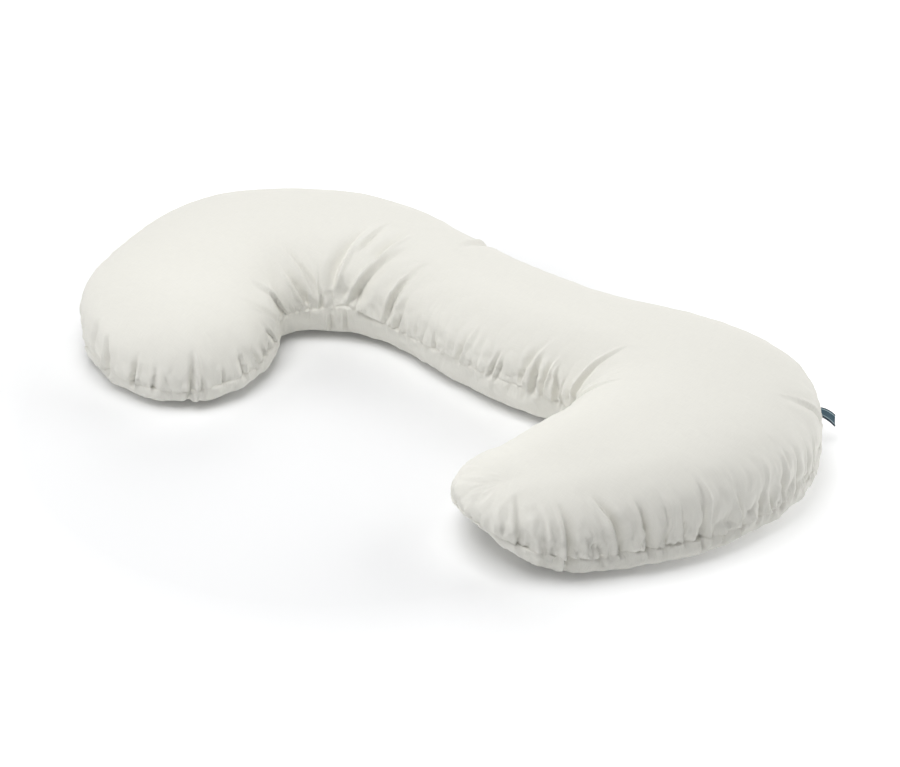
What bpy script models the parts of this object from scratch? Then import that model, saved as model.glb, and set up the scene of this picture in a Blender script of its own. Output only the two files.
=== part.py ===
"""C-shaped body pillow lying on its underside, with one folded ribbon tab.

Two cotton panels are sewn edge to edge round the filling. The seam runs low round the
side, and the cloth is gathered into it. Metres, +Z up; the origin is on the floor under
the middle of the pillow, +X runs along its back, and the C opens towards -Y.
"""
import math

import bmesh
import bpy
import numpy as np

# ---- Sections across the pillow, from the left tip round the back to the right tip.
# Each row joins the seam on the inside of the C to the seam on its outside.
SECTION_COLUMNS = ("name", "inner_x", "inner_y", "outer_x", "outer_y", "crown", "inner_seam", "outer_seam",
                   "inner_power", "outer_power")
SECTIONS = (
    ("left_tip",        -0.271, -0.178, -0.706, -0.163,  0.192,  0.052,  0.054, 2.6, 2.6),
    ("left_arm",        -0.295, -0.098, -0.734, -0.028,  0.197,  0.060,  0.060, 2.5, 2.5),
    ("left_shoulder",   -0.329, -0.041, -0.716,  0.130,  0.198,  0.068,  0.064, 2.5, 2.5),
    ("left_bend",       -0.304,  0.007, -0.571,  0.294,  0.198,  0.072,  0.066, 2.5, 2.5),
    ("left_neck",       -0.248,  0.041, -0.356,  0.374,  0.196,  0.076,  0.066, 2.5, 2.5),
    ("left_waist",      -0.166,  0.065, -0.166,  0.351,  0.190,  0.078,  0.066, 2.5, 2.5),
    ("waist",           0.029,  0.029,  0.054,  0.319,  0.186,  0.078,  0.066, 2.5, 2.5),
    ("right_waist",     0.199,  0.019,  0.244,  0.321,  0.188,  0.076,  0.066, 2.5, 2.5),
    ("right_neck",      0.286,  0.019,  0.434,  0.349,  0.192,  0.072,  0.064, 2.5, 2.5),
    ("right_bend",      0.317,  0.004,  0.624,  0.307,  0.195,  0.068,  0.064, 2.5, 2.5),
    ("right_shoulder",  0.326, -0.031,  0.722,  0.167,  0.195,  0.064,  0.066, 2.5, 2.6),
    ("right_arm",       0.319, -0.091,  0.722, -0.026,  0.190,  0.060,  0.068, 2.5, 3.2),
    ("right_wrist",     0.304, -0.148,  0.649, -0.181,  0.178,  0.056,  0.060, 2.6, 3.3),
    ("right_tip",       0.282, -0.213,  0.549, -0.295,  0.154,  0.056,  0.048, 2.6, 2.6),
)
# The rounded ends past the first and last sections: how far they reach, how far they lean
# into the C, and how much the seam rises, the crown drops and the underside slims there.
TIP_COLUMNS = ("reach", "lean", "seam_rise", "crown_drop", "toe")
LEFT_TIP = (0.184, 0.036, -0.008, 0.000, 0.0)
RIGHT_TIP = (0.126, 0.038, 0.034, 0.010, 1.9)
RIDGE_SHARE = 0.5           # how far the ridge of the crown runs into a tip
UNDER_POWER = 3.0           # superellipse power of a section under the seam
SEAM_DRAW_IN = 0.008        # the cloth stands this far outside the seam
FLOOR_PRESS = 1.10          # the underside would hang 10 % lower: the floor flattens it

# ---- Gathers and folds. seam_at is measured along the seam from the outer end of the
# left tip, round the back of the C. lean shifts a fold's upper end along the seam,
# start and end are distances up the cloth from the seam (minus is under it).
FOLD_COLUMNS = ("seam_at", "lean", "start", "end", "width", "depth")
FOLDS = (
    # left end and the back of the left bend
    (0.010,  0.010, -0.020, 0.080, 0.026, 0.004),
    (0.094, -0.010, -0.010, 0.095, 0.030, 0.005),
    (0.184,  0.015, -0.015, 0.075, 0.026, 0.004),
    (0.284,  0.000, -0.010, 0.100, 0.032, 0.005),
    (0.402, -0.015, -0.020, 0.080, 0.028, 0.004),
    (0.492,  0.010, -0.010, 0.090, 0.030, 0.005),
    (0.621,  0.000, -0.015, 0.070, 0.026, 0.004),
    (0.729, -0.010, -0.010, 0.095, 0.030, 0.005),
    # back of the waist
    (0.858,  0.015, -0.015, 0.085, 0.028, 0.004),
    (1.014,  0.015, -0.010, 0.200, 0.050, 0.008),
    (1.129, -0.010, -0.015, 0.080, 0.028, 0.005),
    (1.249,  0.010, -0.010, 0.070, 0.026, 0.004),
    (1.379,  0.000, -0.015, 0.090, 0.030, 0.005),
    (1.498, -0.015, -0.010, 0.080, 0.026, 0.004),
    # outside of the right bend, over the tab
    (1.619,  0.010, -0.015, 0.090, 0.030, 0.005),
    (1.718,  0.000, -0.010, 0.080, 0.026, 0.004),
    (1.799,  0.015, -0.010, 0.085, 0.026, 0.005),
    (1.870,  0.060, -0.005, 0.165, 0.030, 0.007),
    (1.922,  0.030, -0.005, 0.075, 0.020, 0.004),
    # outside of the right arm
    (1.974, -0.010, -0.015, 0.080, 0.022, 0.004),
    (2.016, -0.020, -0.010, 0.090, 0.022, 0.006),
    (2.046, -0.005, -0.010, 0.090, 0.022, 0.007),
    (2.078,  0.000, -0.020, 0.095, 0.024, 0.007),
    (2.105,  0.010, -0.020, 0.045, 0.020, 0.004),
    (2.135, -0.015, -0.020, 0.095, 0.022, 0.005),
    (2.173,  0.016, -0.030, 0.080, 0.024, 0.007),
    (2.215, -0.018, -0.030, 0.040, 0.022, 0.005),
    (2.248,  0.000, -0.030, 0.120, 0.026, 0.009),
    (2.283,  0.012, -0.010, 0.080, 0.022, 0.006),
    (2.316,  0.003, -0.010, 0.110, 0.022, 0.005),
    (2.349,  0.012, -0.015, 0.105, 0.030, 0.010),
    (2.392,  0.026, -0.010, 0.120, 0.034, 0.012),
    (2.421,  0.016, -0.020, 0.060, 0.020, 0.006),
    (2.486, -0.004, -0.050, 0.110, 0.032, 0.013),
    (2.518,  0.003, -0.045, 0.095, 0.024, 0.007),
    (2.569,  0.002, -0.010, 0.105, 0.032, 0.009),
    # right tip and the inside of the right arm
    (2.606, -0.008, -0.005, 0.080, 0.022, 0.005),
    (2.642, -0.024, -0.005, 0.075, 0.022, 0.006),
    (2.665,  0.000, -0.010, 0.065, 0.020, 0.007),
    (2.701, -0.036, -0.005, 0.095, 0.026, 0.006),
    (2.797, -0.010, -0.005, 0.070, 0.026, 0.004),
    (2.885,  0.010, -0.010, 0.070, 0.026, 0.004),
    (2.963,  0.000, -0.005, 0.060, 0.024, 0.004),
    # inner corner of the right bend, where the folds fan out
    (3.069, -0.014,  0.015, 0.160, 0.030, 0.005),
    (3.089, -0.008,  0.010, 0.120, 0.026, 0.007),
    (3.105,  0.003,  0.010, 0.175, 0.028, 0.007),
    # inside of the waist
    (3.147,  0.008, -0.005, 0.080, 0.018, 0.006),
    (3.176, -0.010,  0.000, 0.095, 0.020, 0.007),
    (3.202, -0.010, -0.010, 0.085, 0.026, 0.010),
    (3.223, -0.026,  0.005, 0.115, 0.024, 0.008),
    (3.282, -0.020, -0.010, 0.065, 0.020, 0.006),
    (3.299, -0.026, -0.010, 0.065, 0.020, 0.006),
    (3.372, -0.028, -0.010, 0.080, 0.024, 0.007),
    (3.440, -0.006, -0.005, 0.050, 0.018, 0.004),
    # inside of the left bend, long folds that fan out over the crown
    (3.545, -0.030,  0.000, 0.085, 0.022, 0.005),
    (3.578, -0.046,  0.000, 0.155, 0.030, 0.011),
    (3.651, -0.060,  0.010, 0.170, 0.048, 0.013),
    (3.624, -0.016,  0.115, 0.225, 0.032, 0.008),
    (3.657, -0.012,  0.135, 0.235, 0.032, 0.006),
    (3.689, -0.024,  0.045, 0.215, 0.046, 0.011),
    (3.719,  0.048,  0.030, 0.160, 0.028, 0.005),
    (3.737,  0.036,  0.010, 0.105, 0.030, 0.009),
    (3.778,  0.090,  0.000, 0.140, 0.032, 0.009),
    (3.837,  0.095,  0.020, 0.140, 0.026, 0.006),
    (3.863,  0.045,  0.000, 0.080, 0.020, 0.005),
    (3.663,  0.000, -0.055, -0.004, 0.022, 0.006),
    (3.693,  0.000, -0.060, -0.004, 0.024, 0.007),
    # left tip
    (3.905,  0.020, -0.005, 0.045, 0.018, 0.005),
    (3.935,  0.024, -0.010, 0.055, 0.020, 0.008),
    (3.976,  0.012, -0.010, 0.065, 0.022, 0.008),
    (4.029,  0.000, -0.010, 0.050, 0.018, 0.004),
    (4.071,  0.000, -0.015, 0.030, 0.016, 0.004),
    (4.093, -0.018, -0.040, 0.090, 0.024, 0.012),
    (4.170, -0.015, -0.010, 0.055, 0.022, 0.005),
    (4.216, -0.025, -0.020, 0.070, 0.024, 0.010),
    (4.286, -0.006, -0.015, 0.085, 0.026, 0.010),
    (4.335, -0.004, -0.010, 0.105, 0.022, 0.007),
    (4.388,  0.010, -0.015, 0.080, 0.024, 0.005),
    (4.452, -0.010, -0.010, 0.085, 0.026, 0.006),
)
RIDGE_HEIGHT = 0.35         # a fold's raised shoulders, as a share of its depth
SHOULDERS = (0.7, 2.3)      # where they lie beside it, in half widths of the fold
FOLD_SHARPNESS = 1.5        # above 1 the bottom of a fold is narrower than its sides
FOLD_SKEW = 0.55            # below 1 a fold is deepest nearer its lower end
LEAN_AT_COLUMNS = 0.4       # share of its lean at which a fold gets its columns of points
DEEP_FOLD = 0.007           # folds at least this deep get two more columns of points

# ---- How finely the cloth is divided
PLAIN_SPACING = 0.036       # between columns of points where there is no fold
CLOSEST_COLUMNS = 0.0055
TOP_ROWS = (0.0, 0.09, 0.19, 0.30, 0.41, 0.53, 0.65, 0.77, 0.89)
UNDER_ROWS = (0.0, 0.16, 0.33, 0.50, 0.667, 0.75)
OUTLINE_SAMPLES = 500       # on each side and each tip, to measure the seam

# ---- Ribbon tab, sewn into the outer seam at the right bend
TAB_SEAM_AT = 1.784
TAB_WIDTH = 0.022
TAB_LENGTH = 0.034
TAB_THICKNESS = 0.0008
TAB_LAYER_GAP = 0.0008
TAB_CLEARANCE = 0.0030
TAB_DROOP = 0.018           # the free end hangs this much lower
TAB_TWIST = math.radians(-40)
TAB_ASIDE = math.radians(15)    # how far it points along the seam, towards the right arm
TAB_STEPS = 16

COTTON = (0.86, 0.85, 0.80, 1.0)
RIBBON_BLUE = (0.05, 0.12, 0.16, 1.0)


def natural_spline(knots, values, at):
    """Read a natural cubic spline through the knots; values may hold several columns."""
    steps = np.diff(knots)
    last = len(knots) - 1
    matrix = np.eye(len(knots))
    right = np.zeros_like(values)
    for i in range(1, last):
        matrix[i, i - 1:i + 2] = steps[i - 1], 2 * (steps[i - 1] + steps[i]), steps[i]
        right[i] = 6 * ((values[i + 1] - values[i]) / steps[i] - (values[i] - values[i - 1]) / steps[i - 1])
    bend = np.linalg.solve(matrix, right)
    i = np.clip(np.searchsorted(knots, at, side="right") - 1, 0, last - 1)
    step = steps[i][:, None]
    before = (knots[i + 1] - at)[:, None]
    after = (at - knots[i])[:, None]
    curve = (bend[i] * before ** 3 + bend[i + 1] * after ** 3) / (6 * step)
    chord_start = (values[i] / step - bend[i] * step / 6) * before
    chord_end = (values[i + 1] / step - bend[i + 1] * step / 6) * after
    return curve + chord_start + chord_end


def section_at(share):
    """Sections at shares 0..1 of the way from the left tip to the right tip."""
    table = np.array([row[1:] for row in SECTIONS])
    middles = (table[:, 0:2] + table[:, 2:4]) / 2
    along = np.concatenate([[0.0], np.cumsum(np.hypot(*np.diff(middles, axis=0).T))])
    values = natural_spline(along, table, share * along[-1])
    return {"inner": values[:, 0:2], "outer": values[:, 2:4], "crown": values[:, 4],
            "inner_seam": values[:, 5], "outer_seam": values[:, 6],
            "inner_power": values[:, 7], "outer_power": values[:, 8], "length": along[-1]}


def tip_frame(first_edge, second_edge, inwards, reach, sweep):
    """Middle, half width and forward axis of a rounded tip between two seam points."""
    middle = (first_edge + second_edge) / 2
    half = (first_edge - second_edge) / 2
    sideways = half / np.linalg.norm(half)
    forward = np.array([-sideways[1], sideways[0]])
    if forward @ (inwards - middle) > 0:
        forward = -forward
    return middle, half, forward * reach + sideways * sweep


def seam_columns(turn):
    """Columns of cloth at turns 0..4 round the seam: outside, right tip, inside, left tip.

    Each column runs from its seam point (edge) up to its foot on the ridge of the crown.
    ahead and across say how far it points along and across the pillow in a tip.
    """
    turn = np.mod(turn, 4.0)
    leg = np.minimum(turn.astype(int), 3)
    part = turn - leg
    count = len(turn)
    cols = {"edge": np.zeros((count, 2)), "foot": np.zeros((count, 2)), "crown": np.zeros(count),
            "seam": np.zeros(count), "ahead": np.zeros(count), "across": np.ones(count),
            "station": np.zeros(count), "top_power": np.zeros(count),
            "under_power": np.full(count, UNDER_POWER)}
    for number, side in ((0, "outer"), (2, "inner")):
        pick = leg == number
        share = part[pick] if number == 0 else 1 - part[pick]
        found = section_at(share)
        cols["edge"][pick] = found[side]
        cols["foot"][pick] = (found["inner"] + found["outer"]) / 2
        cols["crown"][pick] = found["crown"]
        cols["seam"][pick] = found[side + "_seam"]
        cols["top_power"][pick] = found[side + "_power"]
        cols["station"][pick] = share * found["length"]
    ends = section_at(np.array([0.0, 0.01, 0.99, 1.0]))
    spine = (ends["inner"] + ends["outer"]) / 2
    for number, row, inwards, first, second, tip, way in (
            (1, 3, spine[2], "outer", "inner", RIGHT_TIP, 1),
            (3, 0, spine[1], "inner", "outer", LEFT_TIP, -1)):
        reach, lean, seam_rise, crown_drop, toe = tip
        pick = leg == number
        angle = part[pick] * math.pi
        ahead, across = np.sin(angle), np.cos(angle)
        sweep = -way * lean
        middle, half, forward = tip_frame(ends[first][row], ends[second][row], inwards, reach, sweep)
        cols["edge"][pick] = middle + np.outer(ahead, forward) + np.outer(across, half)
        cols["foot"][pick] = middle + np.outer(RIDGE_SHARE * ahead, forward)
        cols["crown"][pick] = ends["crown"][row] - crown_drop * ahead ** 2
        first_seam, second_seam = ends[first + "_seam"][row], ends[second + "_seam"][row]
        level = first_seam * (1 + across) / 2 + second_seam * (1 - across) / 2
        cols["seam"][pick] = level + seam_rise * ahead ** 2
        cols["top_power"][pick] = ends[first + "_power"][row]
        cols["under_power"][pick] -= toe * ahead
        cols["ahead"][pick], cols["across"][pick] = ahead, across
        base = ends["length"] if way > 0 else 0.0
        cols["station"][pick] = base + way * RIDGE_SHARE * reach * ahead
    return cols


def measure_seam():
    """The seam's length at each turn, to turn metres along the seam into turns."""
    turns = np.linspace(0.0, 4.0, 4 * OUTLINE_SAMPLES + 1)
    edge = seam_columns(turns)["edge"]
    metres = np.concatenate([[0.0], np.cumsum(np.hypot(*np.diff(edge, axis=0).T))])
    return turns, metres


def panel_points(cols, rows, over):
    """Points of one panel, a column from the seam towards the ridge, and the way out of it."""
    power = cols["top_power" if over else "under_power"][:, None]
    ridge = RIDGE_SHARE * cols["ahead"][:, None]
    angle = np.arccos(np.minimum(1.0, ridge ** (power / 2))) * rows
    spread = np.cos(angle) ** (2 / power)
    rise = (1 - np.minimum(spread, 1.0) ** power) ** (1 / power)
    a = (((1 - RIDGE_SHARE) * cols["ahead"]) ** 2 + cols["across"] ** 2)[:, None]
    b = 2 * (1 - RIDGE_SHARE) * ridge * cols["ahead"][:, None]
    c = ridge ** 2 - spread ** 2
    out_share = (-b + np.sqrt(np.maximum(b ** 2 - 4 * a * c, 0))) / (2 * a)
    run = cols["edge"] - cols["foot"]
    width = np.linalg.norm(run, axis=1)
    out = run / width[:, None]
    bulge = SEAM_DRAW_IN * np.sin(np.minimum(2 * angle, math.pi)) * spread
    flat = cols["foot"][:, None] + run[:, None] * out_share[..., None] + out[:, None] * bulge[..., None]
    seam = cols["seam"][:, None]
    if over:
        tall = cols["crown"][:, None] - seam
        height = seam + tall * rise
    else:
        tall = -seam * FLOOR_PRESS
        height = np.maximum(seam + tall * rise, 0.0)
    points = np.concatenate([flat, height[..., None]], axis=2)
    sideways = spread ** (power - 1) / width[:, None]
    upwards = rise ** (power - 1) / tall
    normal = np.concatenate([out[:, None] * sideways[..., None], upwards[..., None]], axis=2)
    return points, normal / np.linalg.norm(normal, axis=2)[..., None]


def fold_depth(metres, up, stretch, length):
    """How far the cloth is pushed in at seam positions and heights, summed over the folds."""
    push = np.zeros_like(up)
    for seam_at, lean, start, end, width, depth in FOLDS:
        climb = np.clip((up - start) / (end - start), 0.0, 1.0)
        middle = seam_at + lean * climb
        aside = np.mod(metres[:, None] - middle + length / 2, length) - length / 2
        x = np.abs(aside) * stretch / (width / 2)
        trough = np.clip(1 - x, 0.0, 1.0) ** FOLD_SHARPNESS
        beside = np.clip((x - SHOULDERS[0]) / (SHOULDERS[1] - SHOULDERS[0]), 0.0, 1.0)
        shoulder = np.sin(math.pi * beside) ** 2
        push += depth * np.sin(math.pi * climb ** FOLD_SKEW) * (trough - RIDGE_HEIGHT * shoulder)
    return push


def folded(points, normal, metres, length, sign):
    """Push a panel's points in along its folds."""
    steps = np.linalg.norm(np.diff(points, axis=1), axis=2)
    up = sign * np.concatenate([np.zeros((len(points), 1)), np.cumsum(steps, axis=1)], axis=1)
    beside = np.roll(points, -1, axis=0) - np.roll(points, 1, axis=0)
    apart = np.linalg.norm(beside, axis=2)
    stretch = apart / apart[:, :1]
    push = fold_depth(metres, up, stretch, length)
    moved = points - normal * push[..., None]
    moved[..., 2] = np.maximum(moved[..., 2], 0.0)
    resting = points[..., 2] <= 0.0
    moved[resting] = points[resting]
    return moved


def column_places(turns, metres):
    """Metres along the seam that get a column: both tips' ends, every fold, then plain cloth."""
    length = metres[-1]
    wanted = [float(np.interp(1.5, turns, metres)), float(np.interp(3.5, turns, metres))]
    for seam_at, lean, start, end, width, depth in sorted(FOLDS, key=lambda fold: -fold[5]):
        shares = (0.0, -0.5, 0.5, -0.25, 0.25) if depth >= DEEP_FOLD else (0.0, -0.5, 0.5)
        wanted += [(seam_at + LEAN_AT_COLUMNS * lean + share * width) % length for share in shares]
    wanted += list(np.arange(0.0, length, PLAIN_SPACING))
    kept = []
    for number, place in enumerate(wanted):
        plain = number >= len(wanted) - int(math.ceil(length / PLAIN_SPACING))
        room = PLAIN_SPACING / 2 if plain else CLOSEST_COLUMNS
        gaps = [abs((place - other + length / 2) % length - length / 2) for other in kept]
        if not gaps or min(gaps) > room:
            kept.append(place)
    return np.array(sorted(kept)), wanted[:2]


def zip_strip(first, second, station):
    """Triangles between two chains of points that start and end together."""
    faces = []
    i = j = 0
    while i < len(first) - 1 or j < len(second) - 1:
        go_first = j == len(second) - 1
        if i < len(first) - 1 and not go_first:
            go_first = station[first[i + 1]] <= station[second[j + 1]]
        corner = first[i + 1] if go_first else second[j + 1]
        face = [first[i], second[j], corner]
        if len(set(face)) == 3:
            faces.append(face)
        i, j = (i + 1, j) if go_first else (i, j + 1)
    return faces


def new_object(name, points, faces, material):
    mesh = bpy.data.meshes.new(name)
    shape = bmesh.new()
    verts = [shape.verts.new(point) for point in points]
    for face in faces:
        shape.faces.new([verts[i] for i in face])
    bmesh.ops.recalc_face_normals(shape, faces=shape.faces)
    shape.to_mesh(mesh)
    shape.free()
    mesh.shade_smooth()
    mesh.materials.append(material)
    thing = bpy.data.objects.new(name, mesh)
    bpy.context.scene.collection.objects.link(thing)
    return thing


def new_material(name, colour, roughness):
    material = bpy.data.materials.new(name)
    material.use_nodes = True
    shader = material.node_tree.nodes["Principled BSDF"]
    shader.inputs["Base Color"].default_value = colour
    shader.inputs["Roughness"].default_value = roughness
    shader.inputs["Metallic"].default_value = 0.0
    return material


def make_pillow():
    """One closed solid: the top panel, the seam, and the underside flat on the floor."""
    turns, metres = measure_seam()
    places, tip_ends = column_places(turns, metres)
    cols = seam_columns(np.interp(places, metres, turns))
    length = metres[-1]
    top, top_normal = panel_points(cols, TOP_ROWS, True)
    under, under_normal = panel_points(cols, UNDER_ROWS, False)
    top = folded(top, top_normal, places, length, 1)
    under = folded(under, under_normal, places, length, -1)
    under[:, 0] = top[:, 0]

    count = len(places)
    points = [tuple(point) for row in range(len(TOP_ROWS)) for point in top[:, row]]
    points += [tuple(point) for row in range(1, len(UNDER_ROWS)) for point in under[:, row]]
    top_rings = [np.arange(count) + row * count for row in range(len(TOP_ROWS))]
    under_start = len(TOP_ROWS) * count
    under_rings = [top_rings[0]]
    under_rings += [np.arange(count) + under_start + row * count for row in range(len(UNDER_ROWS) - 1)]
    faces = []
    for rings in (top_rings, under_rings):
        for low, high in zip(rings, rings[1:]):
            for i in range(count):
                j = (i + 1) % count
                faces.append([low[i], low[j], high[j]])
                faces.append([low[i], high[j], high[i]])

    right_end, left_end = (int(np.argmin(abs(places - end))) for end in tip_ends)
    outer = [(left_end + i) % count for i in range((right_end - left_end) % count + 1)]
    inner = [(left_end - i) % count for i in range((left_end - right_end) % count + 1)]
    for rings in (top_rings, under_rings):
        station = dict(zip(rings[-1], cols["station"]))
        strip = zip_strip([rings[-1][i] for i in outer], [rings[-1][i] for i in inner], station)
        faces += strip
    return new_object("pillow", points, faces, new_material("cotton", COTTON, 0.9))


def make_tab():
    """A ribbon folded in half: two thin layers that join in a round fold at the free end."""
    turns, metres = measure_seam()
    beside = TAB_SEAM_AT + TAB_WIDTH / 2 * np.array([-1.0, 0.0, 1.0])
    cols = seam_columns(np.interp(beside, metres, turns))
    root, seam = cols["edge"][1], cols["seam"][1]
    along = cols["edge"][2] - cols["edge"][0]
    along = np.append(along / np.linalg.norm(along), 0.0)
    out = np.array([along[1], -along[0], 0.0])
    if out[:2] @ (root - cols["foot"][1]) < 0:
        out = -out
    out, along = (out * math.cos(TAB_ASIDE) + along * math.sin(TAB_ASIDE),
                  along * math.cos(TAB_ASIDE) - out * math.sin(TAB_ASIDE))
    up = np.array([0.0, 0.0, 1.0])

    lift = (TAB_THICKNESS + TAB_LAYER_GAP) / 2
    bend = [math.pi / 2 * (1 - i / 3) for i in range(7)]
    path = [(i / TAB_STEPS, 1.0) for i in range(TAB_STEPS)]
    path += [(1.0 + lift / TAB_LENGTH * math.cos(angle), math.sin(angle)) for angle in bend]
    path += [(i / TAB_STEPS, -1.0) for i in reversed(range(TAB_STEPS))]
    centre, widths = [], []
    for share, layer in path:
        turn = TAB_TWIST * min(share, 1.0)
        across = along * math.cos(turn) + up * math.sin(turn)
        droop = math.atan(2 * TAB_DROOP / TAB_LENGTH * min(share, 1.0))
        heading = out * math.cos(droop) - up * math.sin(droop)
        face = np.cross(across, heading)
        face /= np.linalg.norm(face)
        middle = np.append(root, seam) + out * (TAB_CLEARANCE + TAB_LENGTH * share)
        middle = middle - up * TAB_DROOP * share ** 2 + face * lift * layer
        centre.append(middle)
        widths.append(across * TAB_WIDTH / 2)
    centre, widths = np.array(centre), np.array(widths)
    heading = np.gradient(centre, axis=0)
    normals = np.cross(widths, heading)
    normals *= TAB_THICKNESS / 2 / np.linalg.norm(normals, axis=1)[:, None]

    points, faces = [], []
    for middle, wide, thick in zip(centre, widths, normals):
        points += [middle - wide - thick, middle + wide - thick]
        points += [middle + wide + thick, middle - wide + thick]
    for ring in range(len(centre) - 1):
        for side in range(4):
            low, high = 4 * ring + side, 4 * ring + (side + 1) % 4
            faces.append([low, high, high + 4])
            faces.append([low, high + 4, low + 4])
    last = 4 * (len(centre) - 1)
    faces += [[0, 1, 2], [0, 2, 3], [last, last + 1, last + 2], [last, last + 2, last + 3]]
    ribbon = new_material("ribbon", RIBBON_BLUE, 0.7)
    return new_object("side_tab", [tuple(point) for point in points], faces, ribbon)


for old in list(bpy.data.objects):
    bpy.data.objects.remove(old, do_unlink=True)
make_pillow()
make_tab()
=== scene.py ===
"""Body pillow in off-white cotton: gathered into a low seam, with a folded ribbon tab."""
import math

import bpy
import numpy as np
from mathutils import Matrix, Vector, noise


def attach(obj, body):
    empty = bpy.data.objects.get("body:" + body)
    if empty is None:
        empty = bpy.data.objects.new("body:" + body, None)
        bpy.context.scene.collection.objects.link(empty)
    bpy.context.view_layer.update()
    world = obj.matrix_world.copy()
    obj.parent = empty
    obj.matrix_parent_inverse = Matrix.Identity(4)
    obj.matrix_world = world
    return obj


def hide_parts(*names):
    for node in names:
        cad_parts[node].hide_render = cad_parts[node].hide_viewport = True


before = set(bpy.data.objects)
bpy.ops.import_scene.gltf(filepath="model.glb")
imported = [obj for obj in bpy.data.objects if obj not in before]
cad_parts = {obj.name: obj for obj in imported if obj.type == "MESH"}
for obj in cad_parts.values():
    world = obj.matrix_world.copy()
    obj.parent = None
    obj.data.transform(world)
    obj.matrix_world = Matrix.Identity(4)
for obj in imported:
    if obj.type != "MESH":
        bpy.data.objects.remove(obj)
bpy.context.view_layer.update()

# ------------------------------------------------------------------ the filled pillow
# Two panels of plain cotton, cut as a C and sewn edge to edge, stuffed with loose
# fibre. Each row below is a section across it; the cloth is gathered into the seam.
SECTION_COLUMNS = ("name", "inner_x", "inner_y", "outer_x", "outer_y", "crown",
                   "inner_seam", "outer_seam", "inner_power", "outer_power")
SECTIONS = (
    ("left_tip",        -0.271, -0.178, -0.706, -0.163,  0.192,  0.052,  0.054, 2.6, 2.6),
    ("left_arm",        -0.295, -0.098, -0.734, -0.028,  0.197,  0.060,  0.060, 2.5, 2.5),
    ("left_shoulder",   -0.329, -0.041, -0.716,  0.130,  0.198,  0.068,  0.064, 2.5, 2.5),
    ("left_bend",       -0.304,  0.007, -0.571,  0.294,  0.198,  0.072,  0.066, 2.5, 2.5),
    ("left_neck",       -0.248,  0.041, -0.356,  0.374,  0.196,  0.076,  0.066, 2.5, 2.5),
    ("left_waist",      -0.166,  0.065, -0.166,  0.351,  0.190,  0.078,  0.066, 2.5, 2.5),
    ("waist",           0.029,  0.029,  0.054,  0.319,  0.186,  0.078,  0.066, 2.5, 2.5),
    ("right_waist",     0.199,  0.019,  0.244,  0.321,  0.188,  0.076,  0.066, 2.5, 2.5),
    ("right_neck",      0.286,  0.019,  0.434,  0.349,  0.192,  0.072,  0.064, 2.5, 2.5),
    ("right_bend",      0.317,  0.004,  0.624,  0.307,  0.195,  0.068,  0.064, 2.5, 2.5),
    ("right_shoulder",  0.326, -0.031,  0.722,  0.167,  0.195,  0.064,  0.066, 2.5, 2.6),
    ("right_arm",       0.319, -0.091,  0.722, -0.026,  0.190,  0.060,  0.068, 2.5, 3.2),
    ("right_wrist",     0.304, -0.148,  0.649, -0.181,  0.178,  0.056,  0.060, 2.6, 3.3),
    ("right_tip",       0.282, -0.213,  0.549, -0.295,  0.154,  0.056,  0.048, 2.6, 2.6),
)
# The rounded ends past the first and last sections: how far they reach, how far they lean
# into the C, and how much the seam rises, the crown drops and the underside slims there.
TIP_COLUMNS = ("reach", "lean", "seam_rise", "crown_drop", "toe")
LEFT_TIP = (0.184, 0.036, -0.008, 0.000, 0.0)
RIGHT_TIP = (0.126, 0.038, 0.034, 0.010, 1.9)
RIDGE_SHARE = 0.5           # how far the ridge of the crown runs into a tip
UNDER_POWER = 3.0           # superellipse power of a section under the seam
SEAM_DRAW_IN = 0.008        # the cloth stands this far outside the seam
FLOOR_PRESS = 1.10          # the underside would hang 10 % lower: the floor flattens it

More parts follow.
